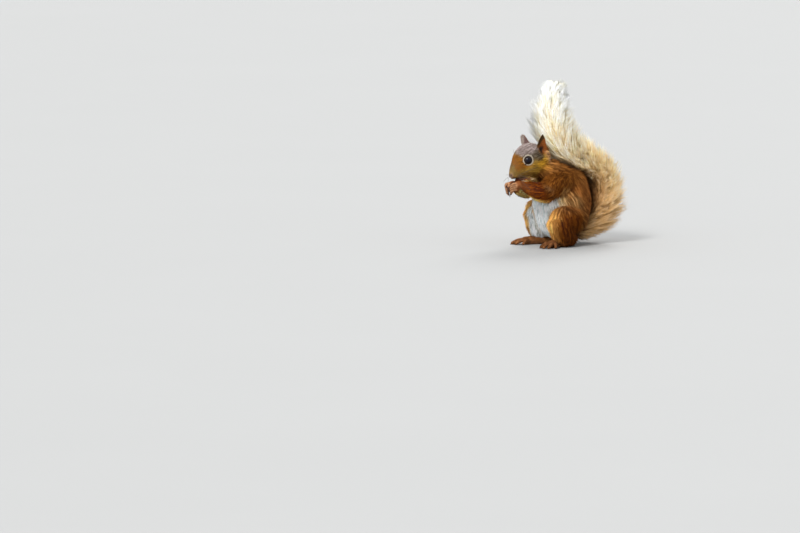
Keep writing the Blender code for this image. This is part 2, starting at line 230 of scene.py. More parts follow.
trunkRows = [(8, 13, 24, 16), (6, 26, 33, 31), (4, 44, 37.5, 37.5), (3.5, 64, 37.5, 39.5), (3, 78, 33, 34),
             (-6, 88, 28, 22.8), (-19.5, 95.8, 23, 18), (-33.5, 103.5, 18.5, 16.5)]
headRows = [(25.2, -7, -16.5, 4.8), (21, -0.5, -18.5, 6.8), (16, 5, -22, 9), (10, 11.3, -24.8, 11.8),
            (3, 15.6, -27, 14.6), (-5, 17.2, -28, 16.8), (-13, 16.4, -27.5, 18.2), (-20, 13, -25.5, 17),
            (-26, 7, -22.5, 14.6), (-29.5, 2, -19, 11)]
limbRows = {
    "upperArmLeft": [(16, 0, 85, 14), (20, -14, 83.5, 15.5), (22.5, -27, 80, 15.5), (24, -35, 73.5, 13.5)],
    "upperArmRight": [(-16, 0, 85, 14), (-19.5, -14, 83.5, 15), (-20.5, -26, 80.5, 14.5),
                      (-20.5, -34, 75.5, 12.8)],
    "forearmLeft": [(24, -37, 71.5, 13.2), (20, -46, 73, 13), (14, -56, 76.6, 10.2), (7.9, -66, 82, 6.7)],
    "forearmRight": [(-20.5, -36, 74, 12.4), (-17.5, -45, 74.8, 12), (-13, -56, 76.8, 9.8),
                     (-8.2, -66, 81, 6.6)],
    "thighLeft": [(22, 8, 36, 19), (26, -5, 36.5, 20.3), (30, -17, 38, 18.3)],
    "shankLeft": [(29, -20, 31.5, 17.3), (29, -14.5, 18, 16), (27, -3, 12, 11.2)],
    "thighRight": [(-22, 8, 37, 18), (-25.5, -6, 42, 20), (-25, -20, 48, 13.5)],
    "shankRight": [(-27, -19, 41, 14.5), (-27.5, -14, 22, 14), (-26, -8, 10.4, 9.6)],
}
handRise = {1: 1.6, -1: 0.6}
footTurns = {1: 17, -1: 24}
footHeel = (18, -3, 0)
tailRows = [(28, 15, 15, 11), (43, 19.5, 24, 16.5), (59, 31, 33, 21), (68, 47, 39, 24), (70, 67, 41, 24),
            (65, 87, 41, 24), (53, 103, 41, 23), (34, 113.5, 40, 24.5), (15.5, 124, 39, 24.5),
            (-1.5, 138, 40, 26), (-10.5, 157, 39, 25), (-12.5, 175, 34.5, 24.5), (-10.5, 190, 29.5, 21.5),
            (-7.5, 201.5, 21.5, 16.5)]
# in the head's frame: the middle of an ear's base, half its base from front to rear, its tip, and its taper
ears = {1: dict(base=(-22, 14, 2.5), across=(-7.2, 0.3, -5.6), tip=(-28.4, 20.5, 21.5), taper=0.55),
        -1: dict(base=(-16.5, -12.5, 4), across=(1.2, -9.0, 0.6), tip=(-21.6, -19.6, 22.3), taper=0.05)}


def headAxes():
    # the head's forward, left and up directions
    yaw, pitch = math.radians(headSet["yaw"]), math.radians(headSet["pitch"])
    level = np.array([-math.sin(yaw), -math.cos(yaw), 0])
    left = np.array([math.cos(yaw), -math.sin(yaw), 0])
    forward = level * math.cos(pitch) - np.array([0, 0, math.sin(pitch)])
    return np.array([forward, left, np.cross(forward, left)])


axes = headAxes()


def fromHead(local):
    return modelEyes + np.asarray(local, float) @ axes


def toHead(points):
    return (points - modelEyes) @ axes.T


# skin: one surface for all the flesh, most of it about a coat's depth inside the solids

depth = dict(trunk=3.6, head=0.8, upperArm=2.2, forearm=1.3, thigh=2.4, shank=2.0)
# the voxel and the smoothing passes of each melt, and the skin's triangles in the end
skinSet = dict(rough=(1.2, 36), fine=(0.55, 3), triangles=188000)
throatSet = dict(at=(0.0, -50.0, 86.5), radii=(9.5, 11.0, 6.5), patch=(0.0, -57.5, 82.0),
                 spread=(11.0, 7.5, 5.0))
# a place and three radii, in the head's frame but for the nape and the palm pads
lumps = dict(
    cheek=((-4, 10.0, -13.5), (13, 6.4, 9.5)), nape=((-0.5, -18.0, 103.0), (16.0, 11.0, 9.0)),
    whiskerPad=((19.2, 3.4, -13.4), (5.4, 3.5, 4.4)), nosePad=((24.0, 0, -10.1), (2.5, 2.8, 2.6)),
    chin=((14.8, 0, -21.4), (7.6, 4.3, 3.6)), upperPalm=((3.1, -77.6, 78.4), (2.6, 3.6, 3.0)),
    lowerPalm=((2.5, -79.0, 75.8), (2.6, 3.6, 3.0)))
mouthSet = dict(height=16.6, slope=0.42, front=23, side=0.10)
# the nostril's dark paint is painted shade in its hole
nostrilSet = dict(at=(25.3, 1.75, -10.6), way=(-0.75, 0.55, 0.35), width=0.62, length=1.25, depth=1.1,
                  dark=(25.3, 2.0, 10.6), spread=1.5)  # the middle of its dark paint, without signs
eyeSet = dict(at=(-0.1, 10.5, -0.4), radius=5.7, opening=5.15, look=(0.3, 0.94, 0.1), bulge=0.04)
# the lid's rim, its fall to the cheek and into the socket, and how far past the opening each goes
lidSet = dict(rise=0.55, fall=0.9, socket=2.4, reach=(0.9, 3.2), blend=(1.6, 4.2))
# the plume's inner mass: its share of the width, where along the tail it ends and how far it lies towards
# the back; then the stations past the solid's end where the last hairs fan out
tailSet = dict(core=0.5, coreEnd=0.86, shift=0.3, beyond=[(-2.2, 210, 18.5, 14.5), (2.2, 224, 17, 13.5)])


def headForm():
    # an oval at each station, from its top, bottom and half width
    path = splinePath(headRows, 4)
    inset = depth["head"] * smoothStep(path[:, 0], 26, 14)
    middle = np.column_stack([path[:, 0], np.zeros(len(path)), (path[:, 1] + path[:, 2]) / 2])
    side = np.outer(path[:, 3] - inset, axes[1])
    up = np.outer((path[:, 1] - path[:, 2]) / 2 - inset, axes[2])
    return closedTube(fromHead(middle), side, up, sides=40, cap=0.4)


def lump(name, side=1):
    # an egg on the head, on its left or right side
    local, radii = lumps[name]
    points, faces = egg(np.zeros(3), radii)
    return outward(fromHead(points + np.array(local) * (1, side, 1)), faces)


def eyeFrame(side):
    # the middle of an eyeball in the head's frame, and the way it looks
    flip = np.array([1, side, 1])
    return eyeSet["at"] * flip, unit(eyeSet["look"] * flip)


def footSpin(side):
    # the turn of a foot outwards, as a matrix for rows of points, and the flip for its side
    turn = math.radians(footTurns[side])
    spin = np.array([[math.cos(turn), math.sin(turn), 0], [-math.sin(turn), math.cos(turn), 0], [0, 0, 1]])
    return spin, np.array([side, 1, 1])


# each toe: how far across and forwards its tip is, and its radius
footSet = dict(sole=[(0, 2, 4.2, 4.4), (0, -10, 5.0, 4.9), (0, -22, 5.2, 5.2), (0, -31, 4.7, 5.3)],
               toes=[(-11, -37, 2.3), (-6, -45.5, 2.6), (0, -49, 2.7), (6, -47, 2.6), (11.5, -40, 2.4)],
               taper=[1.0, 0.86, 0.95, 0.84, 0.72], arch=2.2)


def footForm(side):
    # a long sole and five toes, each toe a tube that arches by 4 t (1 - t) and comes down to its tip
    forms = [limb(footSet["sole"], flat=1.2)]
    tips = []
    t = np.linspace(0, 1, 5)[:, None]
    for across, reach, radius in footSet["toes"]:
        base, tip = np.array([across * 0.45, -27, 4.4]), np.array([across * 1.1, reach + 0.5, 1.8])
        line = base + (tip - base) * t + [0, 0, 1] * (footSet["arch"] * 4 * t * (1 - t))
        forms.append(limb(np.hstack([line, radius * np.array(footSet["taper"])[:, None]]), sides=14))
        tips.append((line[-1], line[-1] - line[-2]))
    spin, flip = footSpin(side)
    forms = [outward((p @ spin + footHeel) * flip, f) for p, f in forms]
    return forms, [((p @ spin + footHeel) * flip, (v @ spin) * flip) for p, v in tips]


# finger is the uppermost one's four stations and apart the step down to the next; middle is the hair's path
handSet = dict(palm=[(7.4, -63.5, 80.2, 5.0), (7.0, -71, 80.9, 4.9), (6.8, -75.5, 79.8, 4.2)],
               finger=[(8.0, -74.8, 83.0), (7.6, -79.8, 82.4), (5.4, -82.4, 79.7), (2.7, -81.7, 77.0)],
               radii=(1.8, 1.7, 1.65, 1.35, 1.15), apart=(-0.2, 0.6, -2.7),
               middle=[(7.4, -63.5, 82, 5), (6.9, -75, 81, 6), (5.5, -81.5, 78, 6)])


def handForm(side):
    # a palm and four fingers that reach forwards, then curl in and down towards the other hand
    flip, rise = np.array([side, 1, 1]), np.array([0, 0, handRise[side]])
    forms = [limb(handSet["palm"], sides=18)]
    tips = []
    for k in range(4):
        knuckle, middle, bend, tip = np.array(handSet["finger"]) + np.array(handSet["apart"]) * k
        line = np.array([knuckle, middle, bend, (bend + tip) / 2, tip])
        forms.append(limb(np.column_stack([line, handSet["radii"]]), sides=14))
        tips.append((tip, tip - bend))
    forms = [outward((p + rise) * flip, f) for p, f in forms]
    return forms, [((p + rise) * flip, v * flip) for p, v in tips]


def earFrame(side):
    # base, axis to the tip, the way the cup opens, and half the base
    base, tip, across = (np.array(ears[side][key], float) for key in ("base", "tip", "across"))
    axis = tip - base
    return base, axis, unit(np.cross(across, axis)) * side, across


def earHalf(side, t):
    # the leaf's width at the share t of its height: it tapers, then closes as sqrt(1 - t^3.5)
    return 0.92 * (1 - ears[side]["taper"] * t) * np.sqrt(np.maximum(1 - t**3.5, 0.004))


def earForm(side):
    # a cupped leaf: its section is a thin crescent, across cos a and a depth of cup (1 - cos^2 a)
    base, axis, facing, across = earFrame(side)
    t = np.linspace(-0.12, 0.985, 18)
    angle = math.tau * np.arange(36) / 36
    half = earHalf(side, np.maximum(t, 0))[:, None]
    cup = 3.4 * (1 - np.cos(angle) ** 2) * (1 - 0.55 * np.maximum(t, 0)[:, None])
    wall = 0.72 * np.sign(np.sin(angle)) * np.abs(np.sin(angle)) ** 0.45
    rings = (base + axis * t[:, None, None]
             + across * (half * np.cos(angle))[..., None] - facing * (cup - wall)[..., None])
    points, faces = closeRings(rings, rings[0].mean(0), rings[-1].mean(0) + unit(axis) * 0.3)
    return outward(fromHead(points), faces)


def tailPath():
    # stations along the plume: the y and z of its middle, half its width and half its depth
    return splinePath([(14, 18, 8, 8), *tailRows, *tailSet["beyond"]], 6)


def tailShare(place):
    # the inner mass's share of the plume: full to 0.6 of the way, then down to a thin bone where it ends
    return tailSet["core"] * (1 - 0.85 * smoothStep(place, 0.6, tailSet["coreEnd"]))


def tailShift(place):
    # how far the inner mass lies towards the back, in half depths of the plume
    return tailSet["shift"] * (1 - smoothStep(place, 0.5, 0.75))


def tailCore():
    path = tailPath()
    core = path[: int(len(path) * tailSet["coreEnd"])]
    place = np.arange(len(core)) / len(path)
    step = unit(np.gradient(core[:, :2], axis=0))
    core[:, :2] += np.column_stack([-step[:, 1], step[:, 0]]) * (core[:, 3] * tailShift(place))[:, None]
    core[:, 2:] *= tailShare(place)[:, None]
    return core


def makeSkin():
    forms = [spine(trunkRows, depth["trunk"], sides=40), headForm()]
    for name, rows in limbRows.items():
        forms.append(limb(rows, depth[name.removesuffix("Left").removesuffix("Right")]))
    for side in (1, -1):
        forms.append(lump("cheek", side))
    forms += [egg(*lumps["nape"]), egg(throatSet["at"], throatSet["radii"])]
    rough = melted("roughForm", forms, *skinSet["rough"])
    fine = [(pointsOf(rough), trianglesOf(rough)), headForm()]
    bpy.data.objects.remove(rough)
    claws = []
    for side in (1, -1):
        for made, tips in (footForm(side), handForm(side)):
            fine += made
            claws += tips
        fine.append(earForm(side))
        for at, radii in (lumps["upperPalm"], lumps["lowerPalm"]):
            fine.append(egg(np.array(at) * (side, 1, 1) + (0, 0, handRise[side]), radii))
        fine.append(lump("whiskerPad", side))
    fine += [lump("nosePad"), lump("chin")]
    fine.append(spine(tailCore(), perSpan=1, sides=24))
    skin = melted("skin", fine, *skinSet["fine"])
    points, normals = pointsOf(skin), normalsOf(skin)
    points = sculpted(points, normals)
    points[:, 2] = np.maximum(points[:, 2], 0.05)
    setPoints(skin.data, points)
    skin.data.update()
    return thinned(skin), claws


def sculpted(points, normals):
    local = toHead(points)
    move = np.zeros_like(local)
    opening, radius = eyeSet["opening"], eyeSet["radius"]
    rim = math.sqrt(radius**2 - opening**2)
    for side in (1, -1):
        # the lids: a rim that hugs the eyeball, falling to the cheek outside and into the socket inside
        centre, look = eyeFrame(side)
        offset = local - centre
        out = offset @ look
        around = np.linalg.norm(offset - out[:, None] * look, axis=1)
        near = (out > -3) & (around < 10)
        low, high = lidSet["reach"]
        lid = rim + lidSet["rise"] - lidSet["fall"] * smoothStep(around, opening + low, opening + high)
        socket = rim - lidSet["socket"] * smoothStep(opening - around, 0, 0.9) + 0.15
        lid = np.where(around < opening, socket, lid)
        low, high = lidSet["blend"]
        share = near * (1 - smoothStep(around, opening + low, opening + high))
        move += ((lid - out) * share)[:, None] * look
        # the nostril: a short comma sunk into the side of the nose
        hole, way = (np.array(nostrilSet[key]) * (1, side, 1) for key in ("at", "way"))
        way = unit(way)
        slit = (local - hole) @ way
        away = np.linalg.norm(local - hole - np.outer(slit, way), axis=1)
        sunk = np.exp(-(away / nostrilSet["width"]) ** 2 - (slit / nostrilSet["length"]) ** 2)
        move -= (sunk * nostrilSet["depth"])[:, None] * np.array([0.8, 0.6 * side, 0])
    # the mouth: a groove round the muzzle's underside, and the split of the upper lip below the nose
    line = mouthHeight(local)
    groove = np.exp(-(line / 0.6) ** 2) * smoothStep(local[:, 0], 9.5, 12) * (np.abs(local[:, 1]) < 10)
    split = np.exp(-(local[:, 1] / 0.45) ** 2) * smoothStep(local[:, 2], -17.4, -16) * (
        1 - smoothStep(local[:, 2], -13.2, -11.7)) * (local[:, 0] > 18)
    inward = -(normals @ axes.T)
    return points + (move + inward * (groove * 0.9 + split * 0.5)[:, None]) @ axes


def mouthHeight(local):
    # how far a point is above the mouth line, which is level in the world, so here it falls to the throat
    line = mouthSet["slope"] * (mouthSet["front"] - local[:, 0]) - mouthSet["side"] * np.abs(local[:, 1])
    return local[:, 2] + mouthSet["height"] + line


def withoutCrumbs(obj):
    # keeps the biggest connected surface: each point takes the lowest label of its faces until none changes
    faces = trianglesOf(obj)
    label = np.arange(len(obj.data.vertices))
    while True:
        spread = label.copy()
        lowest = label[faces].min(1)
        for corner in faces.T:
            np.minimum.at(spread, corner, lowest)
        spread = spread[spread]
        if (spread == label).all():
            break
        label = spread
    crumbs = np.flatnonzero(label != np.bincount(label).argmax())
    shape = bmesh.new()
    shape.from_mesh(obj.data)
    shape.verts.ensure_lookup_table()
    bmesh.ops.delete(shape, geom=[shape.verts[k] for k in crumbs], context="VERTS")
    shape.to_mesh(obj.data)
    shape.free()
    print("points in crumbs left out:", len(crumbs))


def thinned(skin):
    # fewer triangles, the flattest places going first
    faces = len(trianglesOf(skin))
    thin = skin.modifiers.new("thin", "DECIMATE")
    thin.ratio = min(1, skinSet["triangles"] / faces)
    applied(skin)
    withoutCrumbs(skin)
    skin.data.shade_smooth()
    print("skin", faces, "triangles, thinned to", len(trianglesOf(skin)))
    return skin


# where each part lies, which way its hair runs, and how long and wide its tufts are

# the length and the width of a tuft on each kind of part
tuftSet = dict(trunk=(9.5, 0.9), head=(2.6, 0.36), upperArm=(7.2, 0.78), forearm=(4.8, 0.6),
               thigh=(8.6, 0.82), shank=(8.0, 0.78), foot=(1.9, 0.42), hand=(1.2, 0.34), ear=(2.2, 0.34),
               tail=(3, 0.8))
# tufts grow longer and wider from the nose to the nape, and stay short round the eye and at the wrist
headHair = dict(lengthAt=[-32, -22, -12, 0, 12, 24], length=[6.0, 4.2, 3.2, 2.4, 1.7, 0.9],
                widthAt=[-32, -20, 24], width=[0.8, 0.42, 0.28])
eyeHair = dict(length=1.0, width=0.26, away=(6.2, 9.5))
wristHair = dict(length=1.6, fromTo=(-45, -68))


def footPath(side):
    spin, flip = footSpin(side)
    rows = np.array([(0, 4, 5), (0, -22, 5), (0, -34, 4), (0, -48, 2)], float)
    return np.column_stack([(rows @ spin + footHeel) * flip, [6.5, 7, 10, 13]])


def bodyParts():
    # each part: its kind, a path of x, y, z, radius, the way of the hair along it, a fixed pull on the hair,
    # and a direction across the path that the angle round it is measured by
    def part(kind, path, way, pull=(0, 0, 0), across=(0, 0, 1)):
        return dict(kind=kind, path=np.array(path, float), way=way, pull=np.array(pull, float),
                    across=np.array(across, float))

    def inPlane(rows):
        return np.column_stack([0 * rows[:, 0], rows[:, :2], rows[:, 2:].mean(1)])
    f, top, bottom, half = splinePath(headRows, 2).T
    head = np.column_stack([fromHead(np.column_stack([f, 0 * f, (top + bottom) / 2])),
                            (half + (top - bottom) / 2) / 2])
    found = [part("trunk", inPlane(splinePath(trunkRows, 2)), -1, (0, 0.5, -0.3), (1, 0, 0)),
             part("head", head, 1, (0, 0.1, -0.3), axes[1]),
             part("tail", inPlane(tailCore()), 1, across=(1, 0, 0))]
    for side, name in ((1, "Left"), (-1, "Right")):
        ear = [[*fromHead(ears[side][end]), 6.0] for end in ("base", "tip")]
        upperArm, forearm, thigh, shank = (
            splinePath(limbRows[kind + name], 2) for kind in ("upperArm", "forearm", "thigh", "shank"))
        found += [
            part("upperArm", upperArm, 1, (0, 0.25, -0.35)),
            part("forearm", forearm, 1, (0, 0, -0.25)),
            part("hand", np.array(handSet["middle"]) * (side, 1, 1, 1), 1),
            part("thigh", thigh, 0, (0, 0.22, -1), (0, 1, 0)),
            part("shank", shank, 0.25, (0, 0.05, -1), (0, 1, 0)),
            part("foot", footPath(side), 1),
            part("ear", ear, 1, across=axes[0])]
    return found


def alongPart(part, points):
    # the nearest place on the part's path: the distance in radii, the place along, the direction there and
    # the angle round
    path = part["path"]
    tangents = unit(np.gradient(path[:, :3], axis=0))
    lengths = np.linalg.norm(np.diff(path[:, :3], axis=0), axis=1)
    ratio = np.full(len(points), np.inf)
    place, tangent, away = np.zeros(len(points)), np.zeros((len(points), 3)), np.zeros((len(points), 3))
    for k, length in enumerate(lengths):
        free = ((points - path[k, :3]) @ (path[k + 1, :3] - path[k, :3])) / length**2
        t = np.clip(free, 0, 1)
        offset = points - path[k, :3] - t[:, None] * (path[k + 1, :3] - path[k, :3])
        here = np.linalg.norm(offset, axis=1) / (path[k, 3] + (path[k + 1, 3] - path[k, 3]) * t)
        past = np.clip(free, -2 if k == 0 else 0, 3 if k == len(lengths) - 1 else 1)
        near = here < ratio
        ratio = np.where(near, here, ratio)
        place = np.where(near, lengths[:k].sum() + past * length, place)
        tangent[near] = (tangents[k] + (tangents[k + 1] - tangents[k]) * t[:, None])[near]
        away[near] = offset[near]
    side = unit(np.cross(tangent, part["across"]))
    angle = np.arctan2((away * side).sum(1), (away * np.cross(tangent, side)).sum(1))
    return ratio, place, unit(tangent), angle


def eyeOffset(local):
    # in the plane of the eye's opening: distance from its axis, and the share towards its front lower corner
    side = np.where(local[:, 1:2] < 0, -1.0, 1.0)
    flip = np.hstack([np.ones_like(side), side, np.ones_like(side)])
    centre, look = eyeFrame(1)
    offset = local * flip - centre
    flat = offset - (offset @ look)[:, None] * look
    away = np.linalg.norm(flat, axis=1)
    away = np.where(local[:, 1] * side[:, 0] < 3, 99.0, away)
    corner = unit(flat) @ unit(np.array([0.82, 0, -0.57]))
    return away, corner, flat * flip


def layCoat(skin):
    # everything the coat needs at each vertex of the skin
    points, normals = pointsOf(skin), normalsOf(skin)
    parts = bodyParts()
    found = [alongPart(part, points) for part in parts]
    ratio = np.array([f[0] for f in found])
    weights = np.exp(-9 * (ratio - ratio.min(0)))
    weights /= weights.sum(0)
    local = toHead(points)
    lie = np.zeros_like(points)
    length, width = np.zeros(len(points)), np.zeros(len(points))
    share = {}
    for part, (_, _, tangent, _), weight in zip(parts, found, weights):
        kind = part["kind"]
        lie += (tangent * part["way"] + part["pull"]) * weight[:, None]
        length += tuftSet[kind][0] * weight
        width += tuftSet[kind][1] * weight
        share[kind] = share.get(kind, 0) + weight
    eyeAway, corner, fromEye = eyeOffset(local)
    headLength = np.interp(local[:, 0], headHair["lengthAt"], headHair["length"])
    headWidth = np.interp(local[:, 0], headHair["widthAt"], headHair["width"])
    length += (headLength - tuftSet["head"][0]) * share["head"]
    width += (headWidth - tuftSet["head"][1]) * share["head"]
    ring = 1 - smoothStep(eyeAway, *eyeHair["away"])
    length += (eyeHair["length"] - length) * ring
    width += (eyeHair["width"] - width) * ring
    lie += unit(fromEye) @ axes * (ring * 0.9)[:, None]
    wrist = smoothStep(points[:, 1], *wristHair["fromTo"]) * (share["forearm"] + share["hand"])
    length += (wristHair["length"] - length) * np.clip(wrist, 0, 1)
    lie += wandering(points)
    lie -= (lie * normals).sum(1, keepdims=True) * normals
    sole = smoothStep(-normals[:, 2], 0.3, 0.7) * smoothStep(points[:, 2], 6, 3)
    bare = np.clip(bareSkin(local, eyeAway, share) + sole, 0, 1)
    tail = [part["kind"] for part in parts].index("tail")
    tailPlace = found[tail][1] / found[tail][1].max() * tailSet["coreEnd"]
    return dict(points=points, normals=normals, parts=parts, owner=ratio.argmin(0), share=share, local=local,
                tailPlace=tailPlace, lie=unit(lie), length=length, width=width, bare=bare, eyeAway=eyeAway,
                corner=corner)


def wandering(points):
    # a gentle wandering of the hair's direction
    return 0.16 * np.column_stack([waves(points, 26, 11 + k) + 0.5 * waves(points, 9, 31 + k)
                                   for k in range(3)])


def bareSkin(local, eyeAway, share):
    # 1 where no hair grows: the nose pad, the lips and the lids' edge
    nose = smoothStep(local[:, 0], 23.2, 24.6) * smoothStep(local[:, 2], -13.5, -12) * share["head"]
    lips = np.exp(-(mouthHeight(local) / 0.9) ** 2) * smoothStep(local[:, 0], 6, 9) * share["head"]
    lids = 1 - smoothStep(eyeAway, eyeSet["opening"] + 0.5, eyeSet["opening"] + 0.9)
    return nose + lips + lids


# markings, shared by skin and coat

colourSet = dict(  # red, green and blue as a screen shows them
    back=(120, 72, 32), upperBack=(128, 80, 36), flank=(156, 120, 76), lowTrunkShade=(56, 32, 10),
    belly=(232, 248, 255), cream=(232, 198, 140), lilac=(236, 228, 238),
    crown=(144, 128, 122), forehead=(132, 80, 14), temple=(86, 73, 58), nape=(204, 152, 104),
    cheek=(144, 108, 40), cheekBack=(196, 142, 42), jaw=(132, 96, 40), chin=(222, 204, 176),
    muzzle=(128, 98, 44), mouth=(92, 40, 24), lips=(58, 30, 16), nose=(122, 92, 62),
    # lid is the dark rim of the lids and the tear line, and painted shade in the nostril and the ear's hollow
    eyeRing=(192, 178, 158), lid=(34, 24, 20),
    shoulder=(106, 60, 18), arm=(98, 45, 1), armUnderLit=(250, 190, 110), wrist=(110, 55, 8),
    hand=(150, 86, 40), finger=(206, 150, 104), gapShade=(62, 30, 20),
    thigh=(92, 46, 8), thighTop=(126, 80, 42), thighFront=(196, 140, 74), thighRear=(104, 66, 30),
    shank=(86, 40, 4), foot=(118, 72, 36), footHighlight=(170, 112, 66),
    earInner=(158, 88, 38), earBack=(112, 78, 44), earRim=(214, 180, 150), earEdge=(84, 58, 28),
    earFarInShade=(118, 92, 86), earFarRimInShade=(156, 140, 130),
    tailShadow=(66, 38, 16), tailRoot=(138, 94, 50), tailGold=(252, 206, 138), tailCream=(250, 226, 176),
    tailWhite=(252, 252, 244))


def linear(rgb):
    c = np.asarray(rgb, float) / 255
    return np.where(c < 0.04045, c / 12.92, ((c + 0.055) / 1.055) ** 2.4)


def evenly(name, count):
    return np.tile(np.array(colourSet[name], float), (count, 1))


def layered(colour, *layers):
    # named colours laid one over the other, each by an amount for each vertex
    for name, amount in layers:
        colour = mix(colour, np.array(colourSet[name], float), np.clip(amount, 0, 1))
    return colour


def markings(coat):
    p, share = coat["points"], coat["share"]
    ragged = waves(p, 7, 5) * 0.6 + waves(p, 3.5, 6) * 0.4
    colour = evenly("back", len(p))
    for marked in (trunkMarkings, legMarkings, armMarkings, pawMarkings):
        colour = marked(colour, coat, ragged)
    core = tailTones(coat["tailPlace"], np.full(len(p), 0.6), coat["normals"], ragged * 0.04)[1]
    colour = mix(colour, core, np.clip(share["tail"] * 1.3, 0, 1))
    colour = headMarkings(colour, coat, ragged)
    # the throat has the jaw's colour, and a pale patch under the chin
    throat = np.linalg.norm((p - throatSet["at"]) / throatSet["radii"], axis=1) + ragged * 0.06
    patch = np.linalg.norm((p - throatSet["patch"]) / throatSet["spread"], axis=1) + ragged * 0.08
    return layered(colour, ("jaw", smoothStep(throat, 1.25, 1.0) * (1 - share["head"])),
                   ("chin", smoothStep(patch, 1.2, 0.9)))


def trunkMarkings(colour, coat, ragged):
    # by height, and by the angle from straight forwards about an upright line: a white front with cream edges
    x, y, z = coat["points"].T
    turn = np.degrees(np.arctan2(np.abs(x), -(y - 3))) + ragged * 4
    side = smoothStep(turn, 54, 66) * smoothStep(turn, 116, 88) * smoothStep(z, 40, 52)
    side = side * smoothStep(z + (turn - 62) * 0.3, 84, 72)
    armpit = np.exp(-((np.abs(x) - 31) / 5) ** 2 - ((y + 27) / 8) ** 2 - ((z - 58.5) / 5) ** 2)
    return layered(
        colour,
        ("upperBack", smoothStep(z, 76, 94)),
        # painted shadow: the trunk darker towards the bottom, where the thighs shade it
        ("lowTrunkShade", smoothStep(z, 44, 20)),
        ("flank", side * (0.65 + 0.35 * ragged)),
        ("cream", smoothStep(turn, 66, 54) * smoothStep(z, 80, 70)),
        ("belly", smoothStep(turn, 50, 43) * smoothStep(z, 86, 78)),
        ("lilac", armpit * 1.6))


def legMarkings(colour, coat, ragged):
    # chestnut outside, darker behind, a golden front edge, and white where a leg faces the other one
    (x, y, z), share = coat["points"].T, coat["share"]
    near = x > 0
    facing = coat["normals"][:, 0] * np.where(x < 0, -1.0, 1.0) + ragged * 0.16
    forwards = -coat["normals"][:, 1] + ragged * 0.12
    leg = np.clip(share["thigh"] + share["shank"], 0, 1)
    edge = np.where(near, smoothStep(forwards - facing * 0.35, 0.22, 1.0), smoothStep(forwards, 0.3, 0.7))
    inner = np.where(near, smoothStep(-facing, 0.62, 0.85), smoothStep(-facing, -0.15, 0.3))
    return layered(
        colour,
        ("thigh", leg),
        ("thighTop", leg * smoothStep(z + ragged * 2, 42, 54)),
        ("thighRear", leg * smoothStep(y + ragged * 2, -2, 10)),
        ("shank", leg * smoothStep(z, 16, 8) * smoothStep(y, 4, -6)),
        ("thighFront", leg * edge),
        ("belly", leg * inner * smoothStep(z, 11, 16)))


def armMarkings(colour, coat, ragged):
    # chestnut, gold under the near forearm and inside the far one, and the flank's colour behind the elbow
    (x, y, z), (across, _, rise) = coat["points"].T, coat["normals"].T
    upper, fore = coat["share"]["upperArm"], coat["share"]["forearm"]
    under = -rise + ragged * 0.2
    far = smoothStep(under, -0.25, 0.25) * smoothStep(across, -0.35, 0.05)
    return layered(
        colour,
        ("shoulder", upper),
        ("arm", fore * 1.1 + upper * smoothStep(z, 84, 72) * 0.6),
        # the gold under the forearms is partly their own colour and partly painted light from below
        ("armUnderLit", fore * np.where(x < 0, far, smoothStep(-rise, 0.5, 1))),
        ("flank", upper * smoothStep(under, 0.0, 0.5) * smoothStep(y, -24, -14) * 0.8),
        ("wrist", fore * smoothStep(-y, 56, 64)))


def pawMarkings(colour, coat, ragged):
    (x, y, z), share = coat["points"].T, coat["share"]
    sole = smoothStep(z, 14, 9) * smoothStep(-y, 14, 20)
    # the fingers lie one below the other and drop as they curl in: whole numbers run along their middles
    (_, _, top), (outer, _, _) = handSet["finger"][:2]
    rise = np.where(x < 0, handRise[-1], handRise[1])
    finger = (z + 1.1 * np.maximum(outer - np.abs(x), 0) - rise - top) / -handSet["apart"][2]
    # painted shade in the gaps between the fingers
    between = smoothStep(np.abs(finger - np.round(finger)), 0.24, 0.38) * (finger < 0.45)
    # painted shade where the palms face each other
    palm = smoothStep(-coat["normals"][:, 0] * np.sign(x), 0.35, 0.75) * smoothStep(5.5 - np.abs(x), 0, 2)
    return layered(
        colour,
        ("foot", np.maximum(share["foot"] * 1.3, sole)),
        # painted highlight: paler patches at random over the feet
        ("footHighlight", share["foot"] * smoothStep(ragged, 0.1, 0.9) * 0.7),
        ("hand", share["hand"] * 1.2),
        ("finger", share["hand"] * smoothStep(-y, 74.5, 77)),
        ("gapShade", share["hand"] * smoothStep(-y, 76, 78) * between),
        ("gapShade", share["hand"] * palm))


